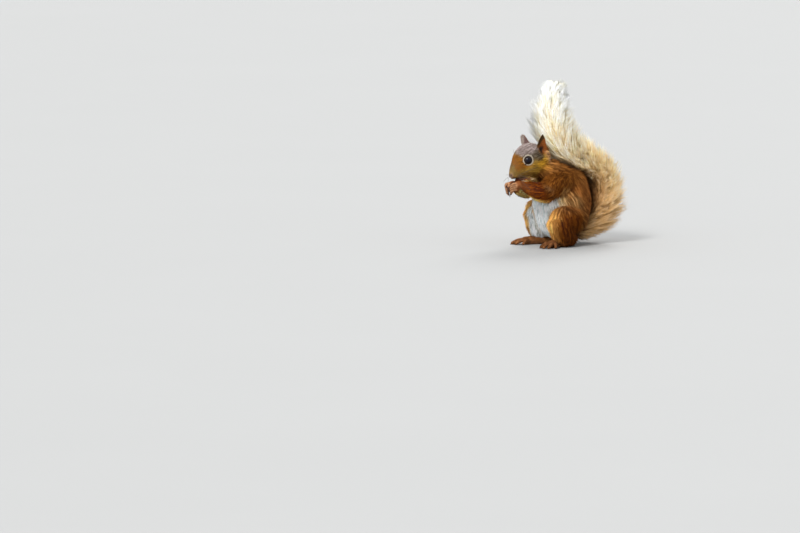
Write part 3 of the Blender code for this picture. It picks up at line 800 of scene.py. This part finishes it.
def headMarkings(colour, coat, ragged):
    # from the nape forwards: gold cheeks, olive under the eye, a grey crown, an orange patch before the eye
    local, eyeAway = coat["local"], coat["eyeAway"]
    f, u = local[:, 0] + ragged * 1.4, local[:, 2] + ragged * 1.1
    crown = smoothStep(u, 3, 10) * smoothStep(f, -31, -20) * smoothStep(f + 0.7 * (u - 12), 12, 7)
    patch = smoothStep(f - 0.5 * (u - 4), 3, 8) * smoothStep(u, -11, -5) * smoothStep(f, 21, 17)
    line = mouthHeight(local)
    under = smoothStep(-line + ragged * 0.6, 0.2, 1.4)
    nostril = np.linalg.norm(np.abs(local) - nostrilSet["dark"], axis=1) / nostrilSet["spread"]
    ringEdge = 6.85 + 0.35 * ragged
    tearLine = smoothStep(coat["corner"], 0.955, 0.985) * smoothStep(eyeAway, 7.8, 6.8)
    face = layered(
        evenly("nape", len(f)),
        ("cheekBack", smoothStep(f, -26, -18)),
        ("temple", smoothStep(f, -26, -14) * smoothStep(u, -10, -3)),
        ("cheek", smoothStep(f, -12, -4) * smoothStep(u, 2, -7)),
        ("crown", crown),
        ("forehead", patch * (1 - 0.75 * smoothStep(u, 10, 15))),
        ("muzzle", smoothStep(f, 17.5, 22) * smoothStep(u, -17, -11)),
        ("jaw", smoothStep(f, -3, 9) * smoothStep(u, -12, -17)),
        ("chin", under * smoothStep(f, -20, -8)),
        ("mouth", under * smoothStep(f, 5, 8.5)),
        ("lips", np.exp(-(line / 0.95) ** 2) * smoothStep(f, 9, 12)),
        ("nose", smoothStep(local[:, 0], 24.0, 25.2) * smoothStep(u, -7.4, -8.6)),
        # painted shade in the nostril
        ("lid", np.exp(-(nostril**2)) * (f > 20)),
        ("eyeRing", smoothStep(eyeAway, ringEdge + 0.5, ringEdge - 0.3)),
        ("lid", np.maximum(smoothStep(eyeAway, 5.7, 5.4), tearLine)))
    colour = mix(colour, face, np.clip(coat["share"]["head"] * 1.2, 0, 1))
    return earMarkings(colour, coat, coat["share"]["ear"])


def earMarkings(colour, coat, share):
    # a cup that is warm inside on the near ear, with a pale rim behind; the far ear has greyer copies of both
    # as painted shade. The near ear's front edge is dark, and its depth gets painted shade
    for side in (1, -1):
        base, axis, facing, across = earFrame(side)
        offset = coat["local"] - base
        t = (offset @ axis) / (axis @ axis)
        over = (offset @ across) / (across @ across) / earHalf(side, np.clip(t, 0, 0.98))
        inside = smoothStep(coat["normals"] @ axes.T @ facing, 0.05, 0.4)
        here = share * (coat["local"][:, 1] * side > 0)
        rim = smoothStep(over, 0.78, 1.0) * smoothStep(t, 0.05, 0.2)
        # the far ear takes greyer copies of the ear colours: painted shade
        inner, edge = ("earInner", "earRim") if side > 0 else ("earFarInShade", "earFarRimInShade")
        colour = layered(colour, ("earBack", here * 1.4 * (1 - inside)), (inner, here * 1.4 * inside),
                         (edge, here * 1.4 * rim))
        if side > 0:
            # painted shade in the near ear's hollow, low and in the middle of the cup
            hollowShade = inside * smoothStep(t, 0.3, 0.06) * smoothStep(-np.abs(over + 0.1), -0.5, -0.2)
            colour = layered(colour, ("earEdge", here * 1.5 * smoothStep(-over, 0.66, 0.9)),
                             ("lid", here * hollowShade * 0.9))
    return colour


# tufts: closed three-sided spikes along a bent line

coatMap = dict(patch=0.003, edge=0.006)  # shares of the map: a tuft's own patch, and the edge left free


def spikeTemplate(rings):
    # faces of one spike, and a place in a unit square for each face corner, so that no face lacks width
    faces, corners = [(0, 1, 2)], [(0.84, 0.0), (1.0, 0.0), (0.92, 0.4)]
    for r in range(rings):
        for j in range(3):
            a, b = 3 * r + j, 3 * r + (j + 1) % 3
            left, right, low, high = 0.27 * j, 0.27 * (j + 1), r / rings, (r + 1) / rings
            if r == rings - 1:
                faces.append((a, 3 * rings, b))
                corners += [(left, low), ((left + right) / 2, 1.0), (right, low)]
            else:
                faces += [(a, a + 3, b), (b, a + 3, b + 3)]
                corners += [(left, low), (left, high), (right, low)]
                corners += [(right, low), (left, high), (right, high)]
    return np.array(faces), np.array(corners)


def spikes(name, root, bend, tip, normal, width, tones, chart, rings, thin=0.55):
    # along (1-t)^2 root + 2t(1-t) bend + t^2 tip; each ring is a flattened triangle with its ridge outwards
    t = np.arange(rings + 1)[:, None, None] / rings
    line = (1 - t) ** 2 * root + 2 * t * (1 - t) * bend + t**2 * tip
    way = unit(np.gradient(line, axis=0))
    side = unit(np.cross(way, normal))
    ridge = np.cross(side, way)
    half = width / 2 * (1 - 0.6 * np.arange(rings)[:, None] / max(rings, 2)) * (1.0 if rings > 1 else 1.1)
    points, shades = [], []
    for angle in (90, 210, 330):
        a = math.radians(angle)
        spread = side * math.cos(a) + ridge * (math.sin(a) * thin)
        points.append(line[:-1] + spread[:-1] * half[..., None])
        shades.append(spread[:-1] * 0.6 + normal)
    count = root.shape[0]

    def perTuft(sides, end):
        return np.concatenate([np.stack(sides, 1).reshape(3 * rings, count, 3), end]).transpose(1, 0, 2)
    points, shades = perTuft(points, line[-1:]), perTuft(shades, normal[None])
    tones = perTuft([tones[:-1]] * 3, tones[-1:])
    points[..., 2] = np.maximum(points[..., 2], 0.12)
    faces, corners = spikeTemplate(rings)
    faces = (faces[None] + (np.arange(count) * (3 * rings + 1))[:, None, None]).reshape(-1, 3)
    uv = (chart[:, None] + corners[None] * coatMap["patch"]).reshape(-1, 2)
    return solidMesh(name, points.reshape(-1, 3), faces, tones.reshape(-1, 3),
                     unit(shades).reshape(-1, 3), uv)


def solidMesh(name, points, faces, tones=None, normals=None, uv=None):
    # a finished piece; tones are its linear colours, and uv a place on the map for each face corner
    mesh = bpy.data.meshes.new(name)
    mesh.vertices.add(len(points))
    setPoints(mesh, points)
    mesh.loops.add(faces.size)
    mesh.loops.foreach_set("vertex_index", faces.astype(np.int32).ravel())
    mesh.polygons.add(len(faces))
    mesh.polygons.foreach_set("loop_start", np.arange(0, faces.size, 3, dtype=np.int32))
    if uv is not None:
        mesh.uv_layers.new(name="OFBake").uv.foreach_set("vector", uv.astype(np.float32).ravel())
    mesh.update(calc_edges=True)
    if tones is not None:
        paint(mesh, tones)
    mesh.shade_smooth()
    if normals is not None:
        mesh.normals_split_custom_set_from_vertices(normals.astype(np.float32))
    obj = linked(name, mesh)
    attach(obj, "root")
    return obj


def paint(mesh, tones):
    rgba = np.column_stack([tones, np.ones(len(tones))]).astype(np.float32)
    mesh.attributes.new("coatColour", "FLOAT_COLOR", "POINT").data.foreach_set("color", rgba.ravel())


def setShares(mesh, name, values):
    mesh.attributes.new(name, "FLOAT", "POINT").data.foreach_set("value", values.astype(np.float32))


def rootsOn(coat, faces, kinds, count, seed, where=None):
    # roots spread by area over the triangles of some parts, with the coat's values blended between corners
    rng = np.random.default_rng(seed)
    owners = np.array([k for k, part in enumerate(coat["parts"]) if part["kind"] in kinds])
    faces = faces[np.isin(coat["owner"][faces[:, 0]], owners)]
    corner = coat["points"][faces]
    area = np.linalg.norm(np.cross(corner[:, 1] - corner[:, 0], corner[:, 2] - corner[:, 0]), axis=1)
    area = area * (1 - coat["bare"][faces].mean(1)).clip(0)
    if where is not None:
        area = area * where(corner.mean(1))
    order = np.lexsort(np.floor(corner.mean(1) / 4).T)
    faces, area = faces[order], area[order]
    reach = np.cumsum(area) / area.sum()
    pick = np.searchsorted(reach, (np.arange(count) + rng.uniform(0, 1, count)) / count)
    pick = pick.clip(0, len(faces) - 1)
    a, b = rng.uniform(0, 1, (2, count))
    over = a + b > 1
    a, b = np.where(over, 1 - a, a), np.where(over, 1 - b, b)
    share = np.column_stack([1 - a - b, a, b])[..., None]
    chosen = faces[pick]
    blended = {key: (coat[key][chosen] * (share if coat[key].ndim > 1 else share[..., 0])).sum(1)
               for key in ("points", "normals", "lie", "length", "width", "colour")}
    blended["owner"] = coat["owner"][chosen[:, 0]]
    return blended, rng


def chartOf(coat, roots):
    # a column of the map for each part in the piece: the angle round runs across it, the place along runs up
    uv = np.zeros((len(roots["owner"]), 2))
    owners, counts = np.unique(roots["owner"], return_counts=True)
    edges = np.concatenate([[0], np.cumsum(counts)]) / counts.sum()
    for owner, low, high in zip(owners, edges[:-1], edges[1:]):
        mine = roots["owner"] == owner
        _, place, _, angle = alongPart(coat["parts"][owner], roots["points"][mine])
        across = low + (high - low) * (0.02 + 0.96 * (angle / math.tau + 0.5))
        up = (place - place.min()) / max(np.ptp(place), 1e-6)
        uv[mine] = onMap(across, up)
    return uv


def onMap(across, up):
    return coatMap["edge"] + (1 - 2 * coatMap["edge"]) * np.column_stack([across, up])


def strands(root, normal, lie, reach, breadth, seed):
    # narrow locks that run with the hair: warped cells as long as reach, each cut into strips across its lie
    warp = np.column_stack([waves(root, reach * 3, seed + k) for k in range(3)]) * reach * 0.5
    key = np.floor((root + warp) / reach).astype(np.int64)
    _, cell = np.unique(key @ np.array([1, 4096, 4096**2]), return_inverse=True)
    cell = cell.ravel()
    size = np.bincount(cell)

    def mean(v):
        return np.column_stack([np.bincount(cell, v[:, k]) / size for k in range(3)])
    across = unit(np.cross(mean(normal), mean(lie)))[cell]
    offset = ((root - mean(root)[cell]) * across).sum(1) + breadth * 0.5 * waves(root, breadth * 5, seed + 9)
    strip = np.floor(offset / breadth).astype(np.int64)
    _, lock = np.unique(cell * 256 + strip + 128, return_inverse=True)
    return lock.ravel(), across


def combed(tip, lock, across, share):
    # tips drawn sideways to the middle of their lock
    size = np.bincount(lock)
    middle = np.column_stack([np.bincount(lock, tip[:, k]) / size for k in range(3)])[lock]
    return tip + across * (((middle - tip) * across).sum(1) * share)[:, None]


def makeCoat(coat, faces, name, kinds, count, rings, seed, where=None, lock=(10, 1.9), draw=0.6,
             lift=(0.12, 0.46), dark=0.42, light=1.2, vary=0.36):
    # tufts in locks: lock is a lock's length and breadth, draw the share by which its tips close up, and lift
    # the least and the most that a tuft stands off the skin
    roots, rng = rootsOn(coat, faces, kinds, count, seed, where)
    normal, lie = unit(roots["normals"]), unit(roots["lie"])
    length = roots["length"] * rng.uniform(0.72, 1.15, count)
    lie = unit(lie + np.cross(normal, lie) * rng.normal(0, 0.13, count)[:, None])
    rise = rng.uniform(*lift, count)
    root = roots["points"] - normal * 0.25
    tip = root + (lie * np.sqrt(1 - rise**2)[:, None] + normal * rise[:, None]) * length[:, None]
    cell, across = strands(root, normal, lie, *lock, seed)
    pulled = combed(tip, cell, across, draw)
    bend = root + (lie * 0.42 + normal * (rise + 0.12)[:, None] * 0.62) * length[:, None]
    bend = bend + (pulled - tip) * 0.35
    # each tuft is a little lighter or darker than its place, each lock more so, and the darker the redder
    cellTone = rng.normal(0, 1, cell.max() + 1)[cell]
    tone = vary * (rng.normal(0, 1, count) * 0.45 + cellTone * 0.9)
    base = linear(roots["colour"]) * np.exp(tone.clip(-1.1, 0.8))[:, None]
    base = base * (1 + tone.clip(-0.6, 0.6)[:, None] * np.array([0.0, 0.12, 0.25]))
    # painted shade darkens each tuft towards its root, less so on pale hair, and its tip is lighter
    along = np.linspace(0, 1, rings + 1)[:, None, None] ** 0.8
    low = (dark + 0.4 * base.max(1, keepdims=True)).clip(0, 0.85)
    tones = (base * (low + (light - low) * along)).clip(0.003, 0.93)
    width = roots["width"] * rng.uniform(0.75, 1.25, count)
    return spikes(name, root, bend, pulled, normal, width, tones, chartOf(coat, roots), rings)


tailHair = dict(
    places=(0, 0.25, 0.5, 0.7, 0.85, 1), lean=(0.055, 0.06, 0.07, 0.085, 0.10, 0.12), width=(0.5, 0.95),
    locks=1150, hairs=9, apart=0.13, rows=0.013, outer=1.09, ragged=0.14, dome=0.085)


def makeTailHair(name, span, seed):
    # pointed locks from the inner mass to the plume's outline, in which hairs start apart and end together
    rng = np.random.default_rng(seed)
    path = tailPath()
    locks = tailHair["locks"]
    lock = np.repeat(np.arange(locks), tailHair["hairs"])
    count = len(lock)
    lockStart = span[0] + (span[1] - span[0]) * (np.arange(locks) + rng.uniform(0, 1, locks)) / locks
    lockAngle = rng.uniform(0, math.tau, locks)
    inwards = 0.5 + 0.45 * smoothStep(lockStart, 0.68, 0.8)
    lockReach = tailHair["outer"] * (1 + tailHair["ragged"] * rng.normal(0, 1, locks).clip(-1.6, 1.3))
    lockReach -= inwards * rng.uniform(0, 1, locks) ** 1.7
    lockLean = np.interp(lockStart, tailHair["places"], tailHair["lean"]) * rng.uniform(0.6, 1.4, locks)
    start = (lockStart[lock] + rng.normal(0, tailHair["rows"], count)).clip(0, 0.93)
    angle = lockAngle[lock] + rng.normal(0, tailHair["apart"], count)
    reach = lockReach[lock] * (1 - 0.16 * rng.uniform(0, 1, count) ** 1.5)
    # the ends draw together, and the further out they are the sooner they stop, so the tail ends in a dome
    endAngle = lockAngle[lock] + (angle - lockAngle[lock]) * 0.16 + rng.normal(0, 0.12, locks)[lock]
    room = 1 - lockStart[lock]
    lean = lockLean[lock] * rng.uniform(0.8, 1.1, count)
    end = 1 - room * np.exp(-lean / room) + (start - lockStart[lock]) * 0.15
    end = np.minimum(end, 1 - tailHair["dome"] * reach**2)

    def at(s, turn, out, shift=0.0):
        # the point a share out from the path to the tail's outline
        k = s * (len(path) - 1)
        low = np.minimum(k.astype(int), len(path) - 2)
        row = path[low] + (path[low + 1] - path[low]) * (k - low)[:, None]
        step = unit(path[low + 1, :2] - path[low, :2])
        x = np.cos(turn) * row[:, 2] * out
        rise = (np.sin(turn) * out + shift) * row[:, 3]
        return np.column_stack([x, row[:, 0] - step[:, 1] * rise, row[:, 1] + step[:, 0] * rise])
    core, shift = tailShare(start) * 0.85, tailShift(start)
    root = at(start, angle, core, shift)
    tip = at(end, endAngle, reach)
    bend = at(start + (end - start) * 0.32, angle * 0.7 + endAngle * 0.3, core + (reach - core) * 0.62,
              shift * 0.4)
    normal = unit(at(start, angle, 1.0) - at(start, angle, 0.5))
    lockTone = rng.normal(0, 1, locks)[lock]
    tone = np.exp(0.07 * rng.normal(0, 1, count) + 0.1 * lockTone)[:, None]
    stops = tailTones(start, reach, normal, rng.normal(0, 0.05, count))
    # painted shadow on the tail hair that lies against the back
    stops = stops + (np.array(colourSet["tailShadow"]) - stops) * backShadowOnTail(tip)[:, None] * 0.85
    tones = (linear(stops) * tone).clip(0.003, 0.95)
    width = rng.uniform(*tailHair["width"], count)
    chart = onMap(np.mod(angle / math.tau, 1), (start - start.min()) / np.ptp(start))
    return spikes(name, root, bend, tip, unit(normal + (0, 0, 0.35)), width, tones, chart, 3, thin=0.6)


# where the back lies at each height, and the slanted way, outwards and backwards, that distance from it goes
backLine = dict(heights=[10, 20, 40, 65, 80, 98, 112], places=[26, 32, 37, 41, 36, 23, 2],
                slant=(0.588, 0.809))


def backShadowOnTail(points):
    # 1 in the band of tail hair that lies against the back and gets painted shadow, 0 beyond it
    x, y, z = points.T
    across, behind = backLine["slant"]
    back = np.interp(z, backLine["heights"], backLine["places"])
    away = across * np.abs(x) + behind * y - back + 2.5 * waves(points, 9, 77)
    return smoothStep(away, 15, 1) * smoothStep(z, 122, 104)


def tailTones(place, reach, normal, stray):
    # brown at the root to cream at the tip; paler along the tail; browner on the side that faces the back,
    # which is partly the hair's own colour and partly painted shade
    names = ("tailRoot", "tailGold", "tailCream", "tailWhite")
    root, gold, cream, white = (np.array(colourSet[name], float) for name in names)
    pale = smoothStep(place + stray - 0.16 * np.clip(normal[:, 1], 0, 1), 0.36, 0.7)[:, None]
    inner = (smoothStep(-normal[:, 1], 0.1, 0.9) * (1 - smoothStep(place, 0.38, 0.52)))[:, None]
    edge = smoothStep(reach, 0.75, 1.0)[:, None]
    first = mix(root, gold, 0.3 + 0.7 * pale[:, 0])
    second = mix(gold, cream, pale[:, 0])
    third = gold + (cream + (white - cream) * pale - gold) * (0.3 * edge + 0.7 * pale)
    last = cream + (white - cream) * (0.6 * edge + 0.4 * pale)
    stops = np.array([first, second, third, last])
    # the hair nearest the body is browner
    low = (1 - smoothStep(place, 0.1, 0.36))[:, None] * (1 - 0.45 * edge)
    stops = stops + (root * np.array([0.6, 0.85, 1.1, 1.3])[:, None, None] - stops) * low * 0.85
    # at the very end even the roots are pale
    end = smoothStep(place, 0.68, 0.86)[:, None]
    stops = stops + (white - stops) * end * np.array([0.3, 0.45, 0.5, 0.5])[:, None, None]
    # painted shade, with the hair's own browner tone, on the lower tail's side that faces the back
    return stops + (root * np.array([0.55, 0.75, 1.0, 1.3])[:, None, None] - stops) * inner * 0.85


# eyes, claws and whiskers

def makeEye(side):
    # a ball with a slightly raised cornea: radius r (1 + bulge cos^6) about the way it looks
    centre, look = eyeFrame(side)
    points, faces = egg(np.zeros(3), (1, 1, 1), sides=64, levels=33)
    tilt = unit(np.cross(look, (0, 0, 1)))
    points = points @ np.array([tilt, np.cross(look, tilt), look])
    bulge = 1 + eyeSet["bulge"] * np.clip(points @ look, 0, 1)[:, None] ** 6
    points, faces = outward(fromHead(centre + points * eyeSet["radius"] * bulge), faces)
    eye = solidMesh("eyeLeft" if side > 0 else "eyeRight", points, faces)
    away = np.degrees(np.arccos(np.clip(unit(toHead(points) - centre) @ look, -1, 1)))
    setShares(eye.data, "fromPupil", away)
    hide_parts("eye_left" if side > 0 else "eye_right")
    return eye


clawSet = dict(length=3.4, handShare=0.85, radius=0.55, droop=1.5)


def makeClaws(tips):
    # each a cone bent down: its point hangs lower by the droop; a hand's claws are shorter than a foot's
    forms = []
    down = np.array([0, 0, -1.0])
    for base, way in tips:
        way = unit(way)
        reach = clawSet["length"] * (1.0 if base[2] < 20 else clawSet["handShare"])
        t = np.linspace(0, 1, 6)[:, None]
        line = base - way * 0.6 + way * (reach + 0.6) * t + down * clawSet["droop"] * t**2
        line[:, 2] = np.maximum(line[:, 2], 0.25 + 0.3 * (1 - t[:, 0]))
        radius = clawSet["radius"] * (1 - t[:, 0]) ** 0.7 + 0.06
        forms.append(limb(np.column_stack([line, radius]), perSpan=2, sides=10, flat=0.7))
    points, faces = joined(forms)
    claws = solidMesh("claws", points, faces)
    return claws


whiskerSet = dict(root=(19.5, 5.2, -13.2), perSide=7, lengths=(22, 36), brow=(3.5, 11, 7), browLength=9,
                  radius=0.055)


def makeWhiskers():
    # fine tapering hairs that sweep out, back and a little down from each pad, with two above each eye
    rng = np.random.default_rng(8)
    forms = []
    for side in (1, -1):
        for k in range(whiskerSet["perSide"]):
            row, column = k % 3, k // 3
            base = np.array(whiskerSet["root"]) + (-1.5 * column, 0.3 * column, 1.5 * (row - 1))
            way = unit(np.array([0.25 - 0.36 * column, 0.85, 0.25 - 0.36 * row]) + rng.normal(0, 0.07, 3))
            bow = np.array([-0.85, -0.25, -0.5]) * rng.uniform(0.6, 1.2)
            forms.append(whiskerForm(base, way, bow, rng.uniform(*whiskerSet["lengths"]), side))
        for k in range(2):
            base = np.array(whiskerSet["brow"]) - (3 * k, 0, 0)
            way = unit(np.array([-0.2 - 0.4 * k, 0.6, 0.6]))
            forms.append(whiskerForm(base, way, np.array([-0.6, 0, -0.4]), whiskerSet["browLength"], side))
    points, faces = joined(forms)
    whiskers = solidMesh("whiskers", points, faces)
    return whiskers


def whiskerForm(base, way, bow, reach, side):
    t = np.linspace(0, 1, 9)[:, None]
    radius = whiskerSet["radius"]
    line = (base + way * reach * t + bow * reach * 0.35 * t**2) * (1, side, 1)
    return limb(np.column_stack([fromHead(line), radius * (1 - 0.85 * t)]), perSpan=1, sides=5)


# materials

class Wire:
    # a node's output that sums can be written on: each sign adds one Math node
    def __init__(self, maker, socket):
        self.maker, self.socket = maker, socket

    def math(self, operation, *others):
        return self.maker.node("ShaderNodeMath", dict(operation=operation), [self, *others])

    def __add__(self, other):
        return self.math("ADD", other)

    def __radd__(self, other):
        return self.math("ADD", other)

    def __sub__(self, other):
        return self.math("SUBTRACT", other)

    def __rsub__(self, other):
        return self.maker.node("ShaderNodeMath", dict(operation="SUBTRACT"), [other, self])

    def __mul__(self, other):
        return self.math("MULTIPLY", other)

    def __rmul__(self, other):
        return self.math("MULTIPLY", other)


class Finish:
    # one material: a Principled shader, and a method that makes any other node
    def __init__(self, name, **fixed):
        self.material = bpy.data.materials.new(name)
        self.material.use_nodes = True
        self.tree = self.material.node_tree
        self.shader = self.tree.nodes["Principled BSDF"]
        for socket, value in fixed.items():
            self.shader.inputs[socket.replace("_", " ")].default_value = value

    def node(self, kind, settings=None, inputs=None, output=0):
        made = self.tree.nodes.new(kind)
        for key, value in (settings or {}).items():
            if key == "stops":
                self.setStops(made.color_ramp, value)
            else:
                setattr(made, key, value)
        pairs = inputs.items() if isinstance(inputs, dict) else enumerate(inputs or [])
        for key, value in pairs:
            if isinstance(value, Wire):
                self.tree.links.new(value.socket, made.inputs[key])
            else:
                made.inputs[key].default_value = value
        return Wire(self, made.outputs[output])

    def setStops(self, ramp, stops):
        while len(ramp.elements) < len(stops):
            ramp.elements.new(0.5)
        for element, (place, colour) in zip(ramp.elements, stops):
            element.position, element.color = place, (*colour, 1)

    def attribute(self, name, output="Color"):
        return self.node("ShaderNodeAttribute", dict(attribute_name=name), output=output)

    def place(self, scale=(1, 1, 1)):
        here = self.node("ShaderNodeTexCoord", output="Object")
        return self.node("ShaderNodeMapping", inputs=dict(Vector=here, Scale=scale))

    def noise(self, scale, detail=2.0, vector=None):
        vector = vector or self.place()
        return self.node("ShaderNodeTexNoise", inputs=dict(Vector=vector, Scale=scale, Detail=detail))

    def ramp(self, amount, *stops):
        return self.node("ShaderNodeValToRGB", dict(stops=stops), [amount])

    def shaded(self, colour, low, high, amount):
        # the colour times a grey from low to high
        grey = self.ramp(amount, (0.3, (low,) * 3), (0.7, (high,) * 3))
        return self.node("ShaderNodeMix", dict(data_type="RGBA", blend_type="MULTIPLY"),
                         {0: 1.0, 6: colour, 7: grey}, output=2)

    def feed(self, **wires):
        for socket, wire in wires.items():
            self.tree.links.new(wire.socket, self.shader.inputs[socket.replace("_", " ")])
        return self.material


def furFinish(name, roughness=0.62):
    finish = Finish(name, Roughness=roughness, Specular_IOR_Level=0.04)
    colour = finish.attribute("coatColour")
    return finish.feed(Base_Color=finish.shaded(colour, 0.88, 1.1, finish.noise(420, 2)))


def skinFinish():
    # short flat hair as a fine bump, and a damp look where the skin is bare
    finish = Finish("skinAndShortHair", Specular_IOR_Level=0.3)
    colour = finish.attribute("coatColour")
    bare = finish.attribute("bareSkin", "Fac")
    grain = finish.noise(1500, 3, finish.place((1, 1, 0.3)))
    wrinkle = finish.noise(900, 2)
    height = grain * (1 - bare) + wrinkle * bare * 0.6
    bump = finish.node("ShaderNodeBump", inputs=dict(Strength=0.45, Distance=0.0004, Height=height))
    rough = 0.72 - bare * 0.3 + (grain - 0.5) * 0.12
    return finish.feed(Base_Color=finish.shaded(colour, 0.8, 1.15, grain), Roughness=rough, Normal=bump)


def eyeFinish():
    # a black-brown eye: an almost black pupil, a thin brown iris and a dark rim, under a clear wet coat
    finish = Finish("eye", Roughness=0.35, Specular_IOR_Level=0.02, Coat_Weight=0.7, Coat_Roughness=0.03,
                    Coat_IOR=1.33)
    away = finish.attribute("fromPupil", "Fac")
    iris = finish.ramp(away * (1 / 90), (0.0, (0.003, 0.003, 0.007)), (0.36, (0.004, 0.003, 0.007)),
                       (0.42, (0.016, 0.009, 0.007)), (0.62, (0.012, 0.007, 0.006)),
                       (0.74, (0.004, 0.003, 0.004)))
    return finish.feed(Base_Color=finish.shaded(iris, 0.8, 1.3, finish.noise(1800, 3)))


def hornFinish(name, dark, pale, scale, roughness, gloss=0.5):
    finish = Finish(name, Specular_IOR_Level=gloss)
    grain = finish.noise(scale, 3)
    return finish.feed(Base_Color=finish.ramp(grain, (0.35, dark), (0.7, pale)),
                       Roughness=grain * 0.2 + roughness)


def floorFinish():
    finish = Finish("paleFloor", Specular_IOR_Level=0.2)
    speck = finish.noise(3, 4)
    grey = finish.ramp(speck, (0.3, (0.359, 0.359, 0.354)), (0.7, (0.367, 0.367, 0.362)))
    return finish.feed(Base_Color=grey, Roughness=speck * 0.1 + 0.7)


def dress(obj, material):
    obj.data.materials.clear()
    obj.data.materials.append(material)
    return obj


# the animal

skin, clawTips = makeSkin()
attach(skin, "root")
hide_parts(*[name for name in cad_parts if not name.startswith("eye")])
report("skin")

coat = layCoat(skin)
coat["colour"] = markings(coat)
shade = 1 - 0.3 * (1 - coat["bare"])  # the skin is darker below the hair
paint(skin.data, linear(coat["colour"]) * shade[:, None])
setShares(skin.data, "bareSkin", coat["bare"])
dress(skin, skinFinish())
report("lie of the coat and markings")

skinFaces = trianglesOf(skin)
furry = furFinish("shortFur")
longFur = furFinish("tailFur", 0.55)


waist = 58  # the height that parts the trunk's two coats


def upperHalf(places):
    return (places[:, 2] > waist).astype(float)


def lowerHalf(places):
    return (places[:, 2] <= waist).astype(float)


def muzzleFront(places):
    return smoothStep(toHead(places)[:, 0], 9, 14)


coatPieces = [
    dict(name="coatFace", kinds=["head"], count=48000, rings=1, seed=1, lock=(5, 0.9), draw=0.45,
         lift=(0.1, 0.4), dark=0.62, vary=0.34),
    dict(name="coatMuzzle", kinds=["head"], count=4500, rings=1, seed=9, lock=(3, 0.6), draw=0.3,
         lift=(0.08, 0.3), dark=0.62, vary=0.24, where=muzzleFront),
    dict(name="coatShoulders", kinds=["trunk"], count=19000, rings=2, seed=2, where=upperHalf, vary=0.44,
         light=1.28),
    dict(name="coatLoins", kinds=["trunk"], count=19000, rings=2, seed=3, where=lowerHalf, vary=0.42,
         light=1.28),
    dict(name="coatArms", kinds=["upperArm", "forearm"], count=15500, rings=2, seed=4, lock=(5.5, 1.2),
         draw=0.7, lift=(0.15, 0.56), vary=0.5, light=1.3),
    dict(name="coatLegs", kinds=["thigh", "shank"], count=16500, rings=2, seed=5, lock=(14, 1.7), vary=0.46),
    dict(name="coatPaws", kinds=["foot", "hand"], count=16000, rings=1, seed=6, lock=(2.5, 0.8), draw=0.3,
         dark=0.75, vary=0.2, slot="paw"),
    dict(name="coatEars", kinds=["ear"], count=7000, rings=1, seed=7, lock=(2.5, 0.6), draw=0.3, dark=0.75,
         vary=0.15, slot="ear"),
]
tailPieces = [("coatTailBase", (0.0, 0.28), 21), ("coatTailMiddle", (0.28, 0.56), 22),
              ("coatTailTip", (0.56, 0.9), 23)]


def finishCoat(made, material):
    dress(made, material)
    report(f"{made.name}: {len(made.data.polygons)} triangles")


for piece in coatPieces:
    slot = piece.pop("slot", "coat")
    finishCoat(makeCoat(coat, skinFaces, **piece), furry)
for name, span, seed in tailPieces:
    finishCoat(makeTailHair(name, span, seed), longFur)

eyeDark = eyeFinish()
for side in (1, -1):
    dress(makeEye(side), eyeDark)
dress(makeClaws(clawTips), hornFinish("claw", (0.02, 0.015, 0.012), (0.09, 0.065, 0.05), 300, 0.3))
dress(makeWhiskers(), hornFinish("whisker", (0.06, 0.04, 0.025), (0.14, 0.1, 0.07), 200, 0.5, 0.05))
report("eyes, claws and whiskers")

# studio: a pale floor, a key, a light from behind, a broad fill and an even sky

# metres and degrees, but the sensor in millimetres; look is how far right of and above the model's origin,
# as it was before centring, the camera looks
studio = dict(azimuth=54, elevation=6, distance=8.0, frameWidth=1.04, look=(-0.2065, -0.02824), sensor=36,
              floor=40, sky=0.95, skyTint=(0.96, 0.98, 1.0, 1),
              lights=dict(key=(2.6, 46, 28, 16), back=(1.6, 50, 215, 30), fill=(0.9, 78, 8, 60)))


def makeCamera():
    turn, rise = math.radians(studio["azimuth"]), math.radians(studio["elevation"])
    right = np.array([math.cos(turn), math.sin(turn), 0])
    toward = np.array([math.sin(turn) * math.cos(rise), -math.cos(turn) * math.cos(rise), math.sin(rise)])
    up = np.cross(toward, right)
    target = right * studio["look"][0] + up * studio["look"][1] + placed * 0.001
    camera = linked("camera", bpy.data.cameras.new("camera"))
    pose = np.eye(4)
    pose[:3, :3] = np.array([right, up, toward]).T
    pose[:3, 3] = target + toward * studio["distance"]
    camera.matrix_world = pose.T
    camera.data.sensor_width = studio["sensor"]
    camera.data.lens = studio["sensor"] * studio["distance"] / studio["frameWidth"]
    camera.data.clip_end = 100
    bpy.context.scene.camera = camera


def makeLights():
    # each sun: its strength, its tilt from straight down, its azimuth, and its angle across
    for name, (strength, tilt, azimuth, angle) in studio["lights"].items():
        sun = linked(name, bpy.data.lights.new(name, "SUN"))
        sun.data.energy = strength
        sun.data.angle = math.radians(angle)
        sun.rotation_euler = (math.radians(tilt), 0, math.radians(azimuth))
    world = bpy.data.worlds.new("sky")
    bpy.context.scene.world = world
    world.use_nodes = True
    back = world.node_tree.nodes["Background"]
    back.inputs["Color"].default_value = studio["skyTint"]
    back.inputs["Strength"].default_value = studio["sky"]


def makeFloor():
    half = studio["floor"] / 2
    mesh = bpy.data.meshes.new("floor")
    corners = [(-half, -half, 0), (half, -half, 0), (half, half, 0), (-half, half, 0)]
    mesh.from_pydata(corners, [], [(0, 1, 2, 3)])
    floor = linked("floor", mesh)
    dress(floor, floorFinish())


makeCamera()
makeLights()
makeFloor()
bpy.context.scene.view_settings.view_transform = "Standard"
report("studio")
